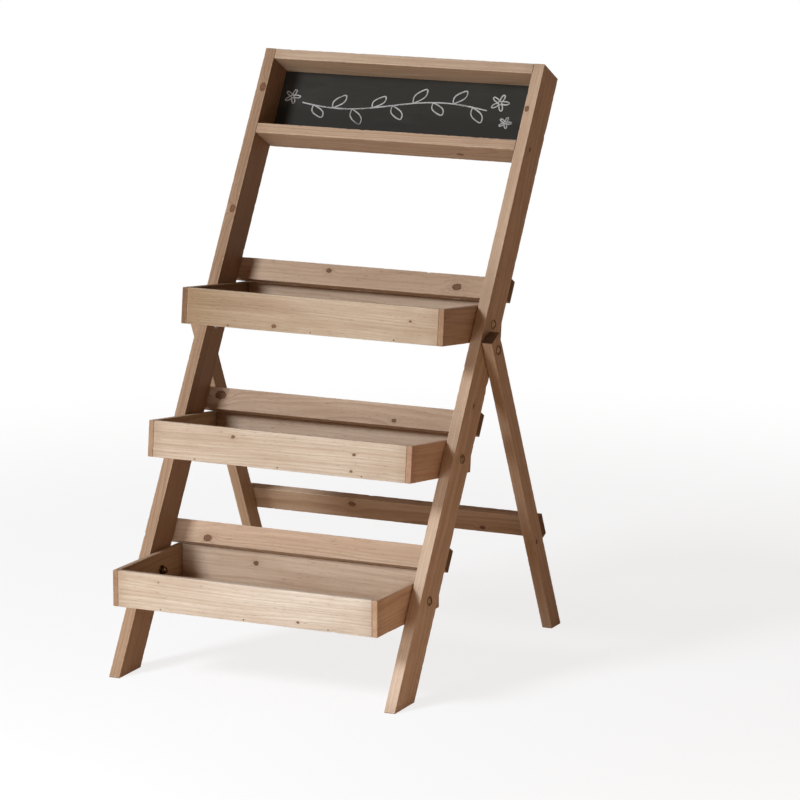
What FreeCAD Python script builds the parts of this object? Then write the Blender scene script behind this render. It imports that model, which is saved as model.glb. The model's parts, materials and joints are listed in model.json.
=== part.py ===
import FreeCAD
import Part
import Sketcher
import math
import os
from FreeCAD import Placement, Rotation, Vector

# Folding plant rack: a leaning ladder frame with a chalkboard, three trays hung on bolts, a hinged rear leg frame.
# Frame: +X to the right, +Y to the back, +Z up, origin on the ground under the middle of the open rack.

doc = FreeCAD.newDocument("PlantRack")
sheet = doc.addObject("Spreadsheet::Sheet", "Sizes")

# Lengths in millimetres, angles in degrees.
sizes = {
    # Ladder frame
    "frame_width": 430,
    "lean_angle": 31.5,
    "stile_length": 928,
    "stile_depth": 51,
    "stile_thickness": 16,
    "rail_thickness": 15,
    "board_opening": 98,
    "edge_ease": 0.8,
    # Dowels that hold the rails
    "dowel_diameter": 6,
    "dowel_length": 24,
    "dowel_depth": 9,
    "dowel_spacing": 24,
    # Chalkboard in its rebate, and the pins behind it
    "board_thickness": 4,
    "board_inset": 1,
    "board_play": 0.5,
    "rebate_width": 5,
    "pin_diameter": 1.4,
    "pin_length": 12,
    # Battens behind the stiles, measured up the stile to their undersides
    "batten_height": 32,
    "batten_thickness": 12,
    "top_batten_rise": 601,
    "middle_batten_rise": 408,
    "bottom_batten_rise": 215,
    # Countersunk wood screws
    "screw_diameter": 3.5,
    "screw_head_diameter": 7,
    "screw_head_height": 2.6,
    "screw_point": 5,
    "batten_screw_length": 34,
    "cross_screw_length": 30,
    "screw_spacing": 15,
    # Trays
    "tray_height": 50,
    "tray_board": 8,
    "tray_floor": 6,
    "front_reach": 119.5,
    "back_reach": 66,
    "rim_clearance": 0.3,
    # How far each tray's bolt lies below the underside of its batten
    "top_bolt_drop": 44.2,
    "middle_bolt_drop": 44.2,
    "bottom_bolt_drop": 51,
    "brad_diameter": 1.5,
    "brad_length": 22,
    # Tray pivots: carriage bolts with washers and cap nuts
    "bolt_diameter": 6,
    "bolt_head_diameter": 12.5,
    "bolt_head_height": 3.4,
    "neck_width": 6.5,
    "neck_height": 4,
    "washer_diameter": 13,
    "washer_thickness": 1,
    "nut_flats": 10,
    "nut_height": 4,
    "nut_dome_radius": 4.2,
    "nut_engagement": 5,
    "side_play": 0.1,
    # Rear leg frame, hinged at half the stile's depth
    "leg_angle": 23.4,
    "leg_width": 28,
    "leg_thickness": 15,
    "leg_overrun": 20,
    "leg_pivot_rise": 520.7,
    "cross_rise": 143,
    "cross_height": 35,
    "cross_thickness": 12,
    # Threaded inserts that take the leg bolts, flush with the stiles' inner faces
    "insert_diameter": 9,
    "insert_flange_diameter": 13,
    "insert_flange_height": 1.5,
    "insert_recess": 0.2,
    # Fits
    "pivot_play": 0.05,
    "drill_play": 0.05,
    "cut_overrun": 1,
}
for row, (alias, number) in enumerate(sizes.items(), 1):
    sheet.set(f"A{row}", alias)
    sheet.set(f"B{row}", str(number))
    sheet.setAlias(f"B{row}", alias)
doc.recompute()

quarter_turn = 90
to_right = Rotation(Vector(0, 1, 0), quarter_turn)
to_left = Rotation(Vector(0, 1, 0), -quarter_turn)
to_back = Rotation(Vector(1, 0, 0), -quarter_turn)
to_front = Rotation(Vector(1, 0, 0), quarter_turn)
upright = Rotation()

# Sizes that several pieces share, as expressions on the sheet.
inner_width = "(Sizes.frame_width - 2 * Sizes.stile_thickness)"
tray_width = f"({inner_width} - 2 * (Sizes.washer_thickness + Sizes.side_play))"
tray_depth = "(Sizes.front_reach + Sizes.back_reach)"
tray_inner_width = f"({tray_width} - 2 * Sizes.tray_board)"
tray_inner_depth = f"({tray_depth} - 2 * Sizes.tray_board)"
rebate_depth = "(Sizes.board_thickness + Sizes.board_inset)"
board_rail_rise = "(Sizes.stile_length - 2 * Sizes.rail_thickness - Sizes.board_opening)"
board_width = f"({inner_width} + 2 * (Sizes.rebate_width - Sizes.board_play))"
board_height = "(Sizes.board_opening + 2 * (Sizes.rebate_width - Sizes.board_play))"
rebate_height = "(Sizes.board_opening + 2 * Sizes.rebate_width)"
leg_outer_half = "(Sizes.frame_width / 2 + Sizes.washer_thickness + Sizes.side_play + Sizes.leg_thickness)"
pivot_height = "(Sizes.leg_pivot_rise * cos(Sizes.lean_angle) - Sizes.stile_depth / 2 * sin(Sizes.lean_angle))"
leg_foot_slope = "(Sizes.leg_width * tan(Sizes.leg_angle))"
leg_drop = f"({pivot_height} / cos(Sizes.leg_angle) + {leg_foot_slope} / 2)"
bolt_bore = "(Sizes.bolt_diameter + 2 * Sizes.drill_play)"
pivot_bore = "(Sizes.bolt_diameter + 2 * Sizes.pivot_play)"
tray_bolt_grip = "(Sizes.stile_thickness + 2 * Sizes.washer_thickness + 2 * Sizes.side_play + Sizes.tray_board)"
leg_bolt_grip = "(Sizes.leg_thickness + 2 * Sizes.side_play + Sizes.washer_thickness)"

tiers = ("top", "middle", "bottom")
sides = {"left": -1, "right": 1}
pair_shares = (-0.5, 0.5)
row_shares = (-0.33, 0, 0.33)


def value(expression):
    return float(sheet.evalExpression(expression))


def size(alias):
    return value(f"Sizes.{alias}")


def at(x, y, z, turn=upright):
    return Placement(Vector(x, y, z), turn)


def bind(feature, **expressions):
    for name, expression in expressions.items():
        feature.setExpression(name, expression)
    return feature


def new_body(label):
    body = doc.addObject("PartDesign::Body", label)
    body.Label = label
    return body


def add(body, kind, place=at(0, 0, 0), **expressions):
    feature = body.newObject(f"PartDesign::{kind}", f"{body.Name}_{kind}")
    feature.Placement = place
    return bind(feature, **expressions)


def plank(label, length, depth, height):
    body = new_body(label)
    add(body, "AdditiveBox", Length=length, Width=depth, Height=height)
    return body


def outline(body, plane, corners):
    # A closed outline of straight lines; each corner is a pair of expressions, None for a place on the axis.
    sketch = body.newObject("Sketcher::SketchObject", f"{body.Name}_outline")
    role = [feature for feature in body.Origin.OriginFeatures if feature.Role == plane][0]
    sketch.AttachmentSupport = [(role, "")]
    sketch.MapMode = "FlatFace"
    points = [Vector(*(0 if text is None else value(text) for text in corner)) for corner in corners]
    count = len(points)
    for index, point in enumerate(points):
        sketch.addGeometry(Part.LineSegment(point, points[(index + 1) % count]), False)
    for index in range(count):
        sketch.addConstraint(Sketcher.Constraint("Coincident", index, 2, (index + 1) % count, 1))
    for index, (across, along) in enumerate(corners):
        tie_corner(sketch, index, "DistanceX", -2, across)
        tie_corner(sketch, index, "DistanceY", -1, along)
    return sketch


def tie_corner(sketch, index, kind, axis, expression):
    if expression is None:
        sketch.addConstraint(Sketcher.Constraint("PointOnObject", index, 1, axis))
        return
    number = sketch.addConstraint(Sketcher.Constraint(kind, -1, 1, index, 1, value(expression)))
    sketch.setExpression(f"Constraints[{number}]", expression)


def ease(body, thickness, along=None):
    # Rounds the arrises: all of them, or only those that run along one direction.
    doc.recompute()
    base = body.Tip
    picked = []
    for number, edge in enumerate(base.Shape.Edges, 1):
        if along is None or abs(edge.tangentAt(edge.FirstParameter).dot(along)) > 1 - Part.Precision.angular():
            picked.append(f"Edge{number}")
    fillet = body.newObject("PartDesign::Fillet", f"{body.Name}_eased")
    fillet.Base = (base, picked)
    bind(fillet, Radius=f"min(Sizes.edge_ease; {thickness} / 4)")


def bore(body, place, diameter, depth, ends=1):
    # A hole from the placed point along its local Z; it starts outside the face, and with two ends goes through.
    start = place * at(0, 0, -size("cut_overrun"))
    add(body, "SubtractiveCylinder", start, Radius=f"{diameter} / 2", Height=f"{depth} + {ends} * Sizes.cut_overrun")


def screw_hole(body, place, depth):
    # Clearance hole and countersink for a screw whose head is flush at the placed point.
    bore(body, place, "(Sizes.screw_diameter + 2 * Sizes.drill_play)", depth, 2)
    add(body, "SubtractiveCone", place,
        Radius1="Sizes.screw_head_diameter / 2 + Sizes.drill_play",
        Radius2="Sizes.screw_diameter / 2 + Sizes.drill_play",
        Height="Sizes.screw_head_height")


def group(label, master, places):
    # Identical loose pieces as one node of separate solids.
    copies = []
    for place in places:
        copy = doc.addObject("App::Link", f"{label}_copy")
        copy.LinkedObject = master
        copy.Placement = place
        copies.append(copy)
    node = doc.addObject("Part::Compound", label)
    node.Label = label
    node.Links = copies
    return node


# Frames of the three moving groups
lean = size("lean_angle")
ladder_turn = Rotation(Vector(1, 0, 0), -lean)
half_depth = size("stile_depth") / 2


def tray_tilt(tier):
    # The rim rests under the rear lower edge of its batten, which tips the tray front-up by this angle.
    drop = size(f"{tier}_bolt_drop")
    across = half_depth + size("batten_thickness")
    rim = size("tray_height") / 2 + size("rim_clearance")
    return lean - math.degrees(math.atan2(drop, across) - math.asin(rim / math.hypot(drop, across)))


def bolt_rise(tier):
    return size(f"{tier}_batten_rise") - size(f"{tier}_bolt_drop")


def ground_span():
    # Foremost and rearmost points of the open rack, from the stiles' front foot edge.
    tilt = math.radians(tray_tilt("bottom"))
    bolt = ladder_turn.multVec(Vector(0, half_depth, bolt_rise("bottom")))
    front = bolt.y - size("front_reach") * math.cos(tilt) - size("tray_height") / 2 * math.sin(tilt)
    head = ladder_turn.multVec(Vector(0, size("stile_depth"), size("stile_length")))
    pivot = ladder_turn.multVec(Vector(0, half_depth, size("leg_pivot_rise")))
    foot = Rotation(Vector(1, 0, 0), size("leg_angle")).multVec(Vector(0, size("leg_width") / 2, -value(leg_drop)))
    return min(front, 0), max(head.y, pivot.y + foot.y)


ladder = at(0, -sum(ground_span()) / 2, 0, ladder_turn)
trays = {}
for tier in tiers:
    turn = Rotation(Vector(1, 0, 0), lean - tray_tilt(tier))
    trays[tier] = ladder * at(0, half_depth, bolt_rise(tier), turn)
leg_turn = Rotation(Vector(1, 0, 0), lean + size("leg_angle"))
legs = ladder * at(0, half_depth, size("leg_pivot_rise"), leg_turn)

half_width = size("frame_width") / 2
half_inner = value(inner_width) / 2
half_tray = value(tray_width) / 2
thickness = size("stile_thickness")
ledge = size("stile_depth") - value(rebate_depth)
board_foot = value(board_rail_rise) + size("rail_thickness")
rails = {"top_rail": size("stile_length") - size("rail_thickness"), "board_rail": value(board_rail_rise)}
dowel_offsets = [share * size("dowel_spacing") for share in pair_shares]
screw_offsets = [share * size("screw_spacing") for share in pair_shares]
dowel_bore = "(Sizes.dowel_diameter + 2 * Sizes.drill_play)"
pin_bore = "(Sizes.pin_diameter + 2 * Sizes.drill_play)"
brad_bore = "(Sizes.brad_diameter + 2 * Sizes.drill_play)"
screw_pilot = "(Sizes.screw_diameter + 2 * Sizes.drill_play)"
parts = []

# Places along the battens where screws go, in the ladder frame: x, and height up the stile
screw_spots = []
for tier in tiers:
    middle = size(f"{tier}_batten_rise") + size("batten_height") / 2
    for sign in sides.values():
        screw_spots += [(sign * (half_width - thickness / 2), middle + offset) for offset in screw_offsets]

# Pins along the board's two long edges, in the ladder frame
pin_rows = (board_foot - size("rebate_width") / 2, rails["top_rail"] + size("rebate_width") / 2)
pin_spots = [(share * value(inner_width), rise) for share in row_shares for rise in pin_rows]

# Stiles
for side, sign in sides.items():
    stile = new_body(f"{side}_stile")
    corners = [
        (None, None),
        ("Sizes.stile_depth", "Sizes.stile_depth * tan(Sizes.lean_angle)"),
        ("Sizes.stile_depth", "Sizes.stile_length"),
        (None, "Sizes.stile_length"),
    ]
    pad = stile.newObject("PartDesign::Pad", f"{side}_stile_pad")
    pad.Profile = outline(stile, "YZ_Plane", corners)
    bind(pad, Length="Sizes.stile_thickness")
    ease(stile, "Sizes.stile_thickness")
    outer_x, inner_x = (0, thickness) if sign < 0 else (thickness, 0)
    outward, inward = (to_left, to_right) if sign < 0 else (to_right, to_left)
    neck_half = size("neck_width") / 2 + size("drill_play")
    for tier in tiers:
        bore(stile, at(outer_x, half_depth, bolt_rise(tier), inward), bolt_bore, "Sizes.stile_thickness", 2)
        corner = Vector(-neck_half, -neck_half, -size("cut_overrun"))
        add(stile, "SubtractiveBox", at(outer_x, half_depth, bolt_rise(tier), inward) * Placement(corner, upright),
            Length="Sizes.neck_width + 2 * Sizes.drill_play",
            Width="Sizes.neck_width + 2 * Sizes.drill_play",
            Height="Sizes.neck_height + Sizes.cut_overrun")
    pivot = at(inner_x, half_depth, size("leg_pivot_rise"), outward)
    bore(stile, pivot, "(Sizes.insert_diameter + 2 * Sizes.drill_play)", "Sizes.stile_thickness", 2)
    bore(stile, pivot, "(Sizes.insert_flange_diameter + 2 * Sizes.drill_play)",
         "(Sizes.insert_flange_height + Sizes.insert_recess)")
    for rise in rails.values():
        for offset in dowel_offsets:
            spot = at(inner_x, half_depth + offset, rise + size("rail_thickness") / 2, outward)
            bore(stile, spot, dowel_bore, "Sizes.dowel_depth")
    rebate_x = inner_x - size("rebate_width") if sign < 0 else inner_x - size("cut_overrun")
    add(stile, "SubtractiveBox", at(rebate_x, ledge, board_foot - size("rebate_width")),
        Length="Sizes.rebate_width + Sizes.cut_overrun",
        Width=f"{rebate_depth} + Sizes.cut_overrun",
        Height=rebate_height)
    for x, rise in screw_spots:
        if x * sign > 0:
            bore(stile, at(thickness / 2, size("stile_depth"), rise, to_front), screw_pilot,
                 "(Sizes.batten_screw_length - Sizes.batten_thickness)")
    stile.Placement = ladder * at(sign * half_width - outer_x, 0, 0)
    parts.append(stile)

# Rails, with the rebate on the side that faces the board
for label, rise in rails.items():
    rail = plank(label, inner_width, "Sizes.stile_depth", "Sizes.rail_thickness")
    ease(rail, "Sizes.rail_thickness", Vector(1, 0, 0))
    is_top = label == "top_rail"
    rebate_z = -size("cut_overrun") if is_top else size("rail_thickness") - size("rebate_width")
    add(rail, "SubtractiveBox", at(-size("cut_overrun"), ledge, rebate_z),
        Length=f"{inner_width} + 2 * Sizes.cut_overrun",
        Width=f"{rebate_depth} + Sizes.cut_overrun",
        Height="Sizes.rebate_width + Sizes.cut_overrun")
    for offset in dowel_offsets:
        middle = size("rail_thickness") / 2
        for end_x, inward in ((0, to_right), (value(inner_width), to_left)):
            bore(rail, at(end_x, half_depth + offset, middle, inward), dowel_bore,
                 "(Sizes.dowel_length - Sizes.dowel_depth)")
    for x, spot_rise in pin_spots:
        if (spot_rise > rise) == (spot_rise < rise + size("rail_thickness")):
            bore(rail, at(x + half_inner, ledge, spot_rise - rise, to_front), pin_bore,
                 "(Sizes.pin_length - Sizes.board_thickness)")
    rail.Placement = ladder * at(-half_inner, 0, rise)
    parts.append(rail)

dowel = new_body("dowel")
add(dowel, "AdditiveCylinder", Radius="Sizes.dowel_diameter / 2", Height="Sizes.dowel_length")
dowel_places = []
for rise in rails.values():
    for offset in dowel_offsets:
        for sign, outward in ((-1, to_left), (1, to_right)):
            start = half_inner + size("dowel_depth") - size("dowel_length")
            place = at(sign * start, half_depth + offset, rise + size("rail_thickness") / 2, outward)
            dowel_places.append(ladder * place)
parts.append(group("rail_dowels", dowel, dowel_places))

# Chalkboard, resting on the rebate's ledge, and its pins
board = plank("chalkboard", board_width, "Sizes.board_thickness", board_height)
board_x = -value(board_width) / 2
board_z = board_foot - size("rebate_width") + size("board_play")
for x, rise in pin_spots:
    bore(board, at(x - board_x, 0, rise - board_z, to_back), pin_bore, "Sizes.board_thickness", 2)
board.Placement = ladder * at(board_x, ledge, board_z)
parts.append(board)

pin = new_body("pin")
add(pin, "AdditiveCylinder", Radius="Sizes.pin_diameter / 2", Height="Sizes.pin_length")
pin_back = ledge + size("board_thickness")
parts.append(group("board_pins", pin, [ladder * at(x, pin_back, rise, to_front) for x, rise in pin_spots]))

# Battens across the stiles' rear faces
for tier in tiers:
    batten = plank(f"{tier}_batten", "Sizes.frame_width", "Sizes.batten_thickness", "Sizes.batten_height")
    ease(batten, "Sizes.batten_thickness")
    batten_rise = size(f"{tier}_batten_rise")
    for x, rise in screw_spots:
        if batten_rise < rise < batten_rise + size("batten_height"):
            spot = at(x + half_width, size("batten_thickness"), rise - batten_rise, to_front)
            screw_hole(batten, spot, "Sizes.batten_thickness")
    batten.Placement = ladder * at(-half_width, size("stile_depth"), batten_rise)
    parts.append(batten)


def wood_screw(label, length):
    # Point at the origin, head flush at the far end of its length.
    screw = new_body(label)
    shank = "Sizes.screw_diameter / 2"
    corners = [
        (None, None),
        (shank, "Sizes.screw_point"),
        (shank, f"{length} - Sizes.screw_head_height"),
        ("Sizes.screw_head_diameter / 2", length),
        (None, length),
    ]
    profile = outline(screw, "XZ_Plane", corners)
    turned = screw.newObject("PartDesign::Revolution", f"{label}_turned")
    turned.Profile = profile
    turned.ReferenceAxis = (profile, ["V_Axis"])
    return screw


batten_screw = wood_screw("batten_screw", "Sizes.batten_screw_length")
screw_tip = size("stile_depth") + size("batten_thickness") - size("batten_screw_length")
screw_places = [ladder * at(x, screw_tip, rise, to_back) for x, rise in screw_spots]
parts.append(group("batten_screws", batten_screw, screw_places))


# Pivot hardware
def dome_bolt(label, length, has_neck):
    # Head under the origin, shank up along Z.
    bolt = new_body(label)
    head_radius = "(Sizes.bolt_head_diameter / 2)"
    dome = f"(({head_radius}^2 + Sizes.bolt_head_height^2) / (2 * Sizes.bolt_head_height))"
    cap_angle = f"asin(({dome} - Sizes.bolt_head_height) / {dome})"
    add(bolt, "AdditiveCylinder", Radius="Sizes.bolt_diameter / 2", Height=length)
    add(bolt, "AdditiveSphere", at(0, 0, value(f"{dome} - Sizes.bolt_head_height")),
        Radius=dome, Angle2=f"-{cap_angle}")
    if has_neck:
        corner = -size("neck_width") / 2
        add(bolt, "AdditiveBox", at(corner, corner, 0),
            Length="Sizes.neck_width", Width="Sizes.neck_width", Height="Sizes.neck_height")
    return bolt


def washer(label):
    ring = new_body(label)
    add(ring, "AdditiveCylinder", Radius="Sizes.washer_diameter / 2", Height="Sizes.washer_thickness")
    bore(ring, at(0, 0, 0), pivot_bore, "Sizes.washer_thickness", 2)
    return ring


def cap_nut(label):
    nut = new_body(label)
    add(nut, "AdditivePrism", Circumradius="Sizes.nut_flats / 2 / cos(30)", Height="Sizes.nut_height")
    add(nut, "AdditiveSphere", at(0, 0, size("nut_height")), Radius="Sizes.nut_dome_radius", Angle1="0")
    bore(nut, at(0, 0, 0), bolt_bore, "(Sizes.nut_engagement + Sizes.drill_play)")
    return nut


def on_both_sides(reach, depth, rise, inwards=True):
    # Places on the left and right at one distance from the middle, local Z towards or away from the middle.
    turns = (to_right, to_left) if inwards else (to_left, to_right)
    return [ladder * at(sign * reach, depth, rise, turn) for sign, turn in zip(sides.values(), turns)]


tray_bolt = dome_bolt("tray_bolt", f"{tray_bolt_grip} + Sizes.nut_engagement", True)
flat_washer = washer("flat_washer")
dome_nut = cap_nut("dome_nut")
nut_reach = half_width - value(tray_bolt_grip)
for tier in tiers:
    rise = bolt_rise(tier)
    parts.append(group(f"{tier}_tray_bolts", tray_bolt, on_both_sides(half_width, half_depth, rise)))
    outer = on_both_sides(half_inner, half_depth, rise)
    inner = on_both_sides(nut_reach + size("washer_thickness"), half_depth, rise)
    parts.append(group(f"{tier}_tray_washers", flat_washer, outer + inner))
    parts.append(group(f"{tier}_tray_nuts", dome_nut, on_both_sides(nut_reach, half_depth, rise)))

# Trays, each in its own frame: the bolts' axis at the origin, +Y to the back, +Z up from the floor
brad = new_body("brad")
add(brad, "AdditiveCylinder", Radius="Sizes.brad_diameter / 2", Height="Sizes.brad_length")
half_height = size("tray_height") / 2
board_middle = size("tray_board") / 2
end_rows = (-size("front_reach") + board_middle, size("back_reach") - board_middle)
floor_middle = size("tray_floor") / 2 - half_height
depth_middle = (size("back_reach") - size("front_reach")) / 2
# Brads through the sides: into the ends of the front and back boards, and into the floor
side_spots = [(row, share * half_height) for row in end_rows for share in pair_shares]
side_spots += [(depth_middle + share * value(tray_inner_depth), floor_middle) for share in row_shares if share]
# Brads through the front and back boards into the floor
floor_spots = [share * value(tray_inner_width) for share in row_shares]

for tier in tiers:
    frame = trays[tier]
    brad_places = []
    for side, sign in sides.items():
        board = plank(f"{tier}_tray_{side}_side", "Sizes.tray_board", tray_depth, "Sizes.tray_height")
        ease(board, "Sizes.tray_board")
        bore(board, at(0, size("front_reach"), half_height, to_right), pivot_bore, "Sizes.tray_board", 2)
        for y, z in side_spots:
            bore(board, at(0, y + size("front_reach"), z + half_height, to_right), brad_bore, "Sizes.tray_board", 2)
            brad_places.append(frame * at(sign * half_tray, y, z, to_right if sign < 0 else to_left))
        start = -half_tray if sign < 0 else half_tray - size("tray_board")
        board.Placement = frame * at(start, -size("front_reach"), -half_height)
        parts.append(board)

    brad_depth = "(Sizes.brad_length - Sizes.tray_board)"
    ends = {"front": (-size("front_reach"), 0, to_back), "back": (size("back_reach"), size("tray_board"), to_front)}
    for label, (face_y, outer_y, inward) in ends.items():
        board = plank(f"{tier}_tray_{label}", tray_inner_width, "Sizes.tray_board", "Sizes.tray_height")
        ease(board, "Sizes.tray_board", Vector(1, 0, 0))
        for share in pair_shares:
            for end_x, turn in ((0, to_right), (value(tray_inner_width), to_left)):
                spot = at(end_x, board_middle, half_height + share * half_height, turn)
                bore(board, spot, brad_bore, brad_depth)
        for x in floor_spots:
            spot = at(x + value(tray_inner_width) / 2, outer_y, floor_middle + half_height, inward)
            bore(board, spot, brad_bore, "Sizes.tray_board", 2)
            brad_places.append(frame * at(x, face_y, floor_middle, inward))
        board.Placement = frame * at(-value(tray_inner_width) / 2, face_y - outer_y, -half_height)
        parts.append(board)

    floor = plank(f"{tier}_tray_floor", tray_inner_width, tray_inner_depth, "Sizes.tray_floor")
    floor_front = size("tray_board") - size("front_reach")
    for x in floor_spots:
        for y, turn in ((0, to_back), (value(tray_inner_depth), to_front)):
            bore(floor, at(x + value(tray_inner_width) / 2, y, size("tray_floor") / 2, turn), brad_bore, brad_depth)
    for y, z in side_spots:
        if z == floor_middle:
            for end_x, turn in ((0, to_right), (value(tray_inner_width), to_left)):
                bore(floor, at(end_x, y - floor_front, size("tray_floor") / 2, turn), brad_bore, brad_depth)
    floor.Placement = frame * at(-value(tray_inner_width) / 2, floor_front, -half_height)
    parts.append(floor)
    parts.append(group(f"{tier}_tray_brads", brad, brad_places))

# Rear legs, in the leg frame: the pivot axis at the origin, +Z up along the leg
half_leg = size("leg_width") / 2
leg_start = size("frame_width") / 2 + size("washer_thickness") + size("side_play")
cross_foot = size("cross_rise") - value(f"{pivot_height} / cos(Sizes.leg_angle)")
cross_middle = cross_foot + size("cross_height") / 2
cross_x = leg_start + size("leg_thickness") / 2
cross_spots = [(sign * cross_x, cross_middle + offset) for sign in sides.values() for offset in screw_offsets]
for side, sign in sides.items():
    leg = new_body(f"{side}_rear_leg")
    leg_top = f"({leg_drop} + Sizes.leg_overrun)"
    corners = [
        (None, leg_foot_slope),
        ("Sizes.leg_width", None),
        ("Sizes.leg_width", leg_top),
        (None, leg_top),
    ]
    pad = leg.newObject("PartDesign::Pad", f"{side}_rear_leg_pad")
    pad.Profile = outline(leg, "YZ_Plane", corners)
    bind(pad, Length="Sizes.leg_thickness")
    ease(leg, "Sizes.leg_thickness")
    bore(leg, at(0, half_leg, value(leg_drop), to_right), pivot_bore, "Sizes.leg_thickness", 2)
    for x, z in cross_spots:
        if x * sign > 0:
            spot = at(size("leg_thickness") / 2, size("leg_width"), z + value(leg_drop), to_front)
            bore(leg, spot, screw_pilot, "(Sizes.cross_screw_length - Sizes.cross_thickness)")
    start = -leg_start - size("leg_thickness") if sign < 0 else leg_start
    leg.Placement = legs * at(start, -half_leg, -value(leg_drop))
    parts.append(leg)

cross = plank("rear_cross_batten", f"2 * {leg_outer_half}", "Sizes.cross_thickness", "Sizes.cross_height")
ease(cross, "Sizes.cross_thickness")
for x, z in cross_spots:
    spot = at(x + value(leg_outer_half), size("cross_thickness"), z - cross_foot, to_front)
    screw_hole(cross, spot, "Sizes.cross_thickness")
cross.Placement = legs * at(-value(leg_outer_half), half_leg, cross_foot)
parts.append(cross)

cross_screw = wood_screw("cross_screw", "Sizes.cross_screw_length")
cross_tip = half_leg + size("cross_thickness") - size("cross_screw_length")
parts.append(group("cross_batten_screws", cross_screw, [legs * at(x, cross_tip, z, to_back) for x, z in cross_spots]))

# Leg pivots: dome bolts through the legs into threaded inserts
insert = new_body("insert")
insert_length = "(Sizes.stile_thickness - Sizes.insert_recess)"
add(insert, "AdditiveCylinder", Radius="Sizes.insert_diameter / 2", Height=insert_length)
add(insert, "AdditiveCylinder", Radius="Sizes.insert_flange_diameter / 2", Height="Sizes.insert_flange_height")
bore(insert, at(0, 0, 0), bolt_bore, insert_length, 2)
leg_bolt = dome_bolt("leg_bolt", f"{leg_bolt_grip} + Sizes.stile_thickness - Sizes.insert_flange_height", False)
pivot_rise = size("leg_pivot_rise")
insert_reach = half_inner + size("insert_recess")
parts.append(group("leg_bolts", leg_bolt, on_both_sides(half_width + value(leg_bolt_grip), half_depth, pivot_rise)))
parts.append(group("leg_inserts", insert, on_both_sides(insert_reach, half_depth, pivot_rise, False)))
parts.append(group("leg_washers", flat_washer, on_both_sides(half_width, half_depth, pivot_rise, False)))

doc.recompute()
failed = [item.Label for item in doc.Objects if "Invalid" in item.State or "Error" in item.State]
failed += [part.Label for part in parts if part.Shape.isNull() or not part.Shape.isValid()]
if failed:
    raise RuntimeError(f"not built: {failed}")

os.makedirs("parts", exist_ok=True)
for part in parts:
    part.Shape.exportStep(f"parts/{part.Label}.step")
    print(part.Label, len(part.Shape.Solids), round(part.Shape.Volume, 1))
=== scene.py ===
import bpy
import bmesh
import json
import math
import random
from mathutils import Matrix, Vector, noise


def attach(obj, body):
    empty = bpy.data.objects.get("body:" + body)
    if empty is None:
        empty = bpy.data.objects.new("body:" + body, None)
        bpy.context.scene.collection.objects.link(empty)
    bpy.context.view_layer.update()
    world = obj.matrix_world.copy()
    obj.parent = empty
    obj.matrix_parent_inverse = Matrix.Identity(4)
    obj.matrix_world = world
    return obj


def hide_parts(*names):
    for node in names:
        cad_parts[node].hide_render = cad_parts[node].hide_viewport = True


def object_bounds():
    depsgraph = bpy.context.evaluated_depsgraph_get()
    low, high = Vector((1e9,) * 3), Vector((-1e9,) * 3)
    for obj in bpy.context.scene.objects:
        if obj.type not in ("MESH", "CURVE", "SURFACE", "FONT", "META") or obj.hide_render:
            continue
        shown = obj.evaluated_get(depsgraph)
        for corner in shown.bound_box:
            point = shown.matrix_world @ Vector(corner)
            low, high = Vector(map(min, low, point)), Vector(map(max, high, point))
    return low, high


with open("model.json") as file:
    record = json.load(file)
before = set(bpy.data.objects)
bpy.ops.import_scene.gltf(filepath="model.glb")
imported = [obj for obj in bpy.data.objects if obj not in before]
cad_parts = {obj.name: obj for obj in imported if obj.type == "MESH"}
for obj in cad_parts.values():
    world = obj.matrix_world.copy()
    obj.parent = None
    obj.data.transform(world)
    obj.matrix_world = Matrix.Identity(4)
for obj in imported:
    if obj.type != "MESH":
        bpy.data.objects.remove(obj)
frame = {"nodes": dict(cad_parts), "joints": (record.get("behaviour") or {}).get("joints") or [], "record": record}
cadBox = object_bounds()
joints = {joint["name"]: joint for joint in frame["joints"]}
mounts = {mount["name"]: mount for mount in frame["record"]["mounts"]}
tiers = ("top", "middle", "bottom")
print("frame loaded:", len(frame["nodes"]), "nodes")


# Where things are, read from the frame

def uprightTo(up):  # the turn about X that lays +Z along this direction
    return Matrix.Rotation(-math.atan2(up[1], up[2]), 4, "X")


def pivotOf(joint):
    return Vector(joints[joint]["pos_m"])


def cornerOf(pick, points):
    return Vector([pick(point[axis] for point in points) for axis in range(3)])


def localBox(node, turn):  # a node's box along its own board's directions
    back = turn.inverted()
    points = [back @ vertex.co for vertex in frame["nodes"][node].data.vertices]
    return cornerOf(min, points), cornerOf(max, points)


def solidsOf(node, turn):  # the same for each separate solid of a node
    shell = bmesh.new()
    shell.from_mesh(frame["nodes"][node].data)
    bmesh.ops.remove_doubles(shell, verts=shell.verts, dist=1e-6)
    shell.transform(turn.inverted())
    waiting = set(shell.verts)
    boxes = []
    while waiting:
        queue = [waiting.pop()]
        points = []
        while queue:
            vertex = queue.pop()
            points.append(vertex.co.copy())
            for edge in vertex.link_edges:
                other = edge.other_vert(vertex)
                if other in waiting:
                    waiting.discard(other)
                    queue.append(other)
        boxes.append((cornerOf(min, points), cornerOf(max, points)))
    shell.free()
    return sorted(boxes, key=lambda box: tuple(box[0]))


ladderTurn = uprightTo(pivotOf("top_tray_fold") - pivotOf("bottom_tray_fold"))
legTurn = uprightTo(pivotOf("rear_leg_fold") - Vector(mounts["rear_left_foot"]["pos_m"]))
trayTurns = {tier: uprightTo(mounts[f"{tier}_tray_floor"]["axis"]) for tier in tiers}


# Small helpers for work in object and edit mode

edgePick = {"alignment": 0.99, "sharpAngle": 0.5}  # a cosine, and radians


def pieceName(node):
    first, *rest = node.split("_")
    return first + "".join(word.capitalize() for word in rest)


def pickNone():
    bpy.ops.object.select_all(action="DESELECT")


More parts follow.
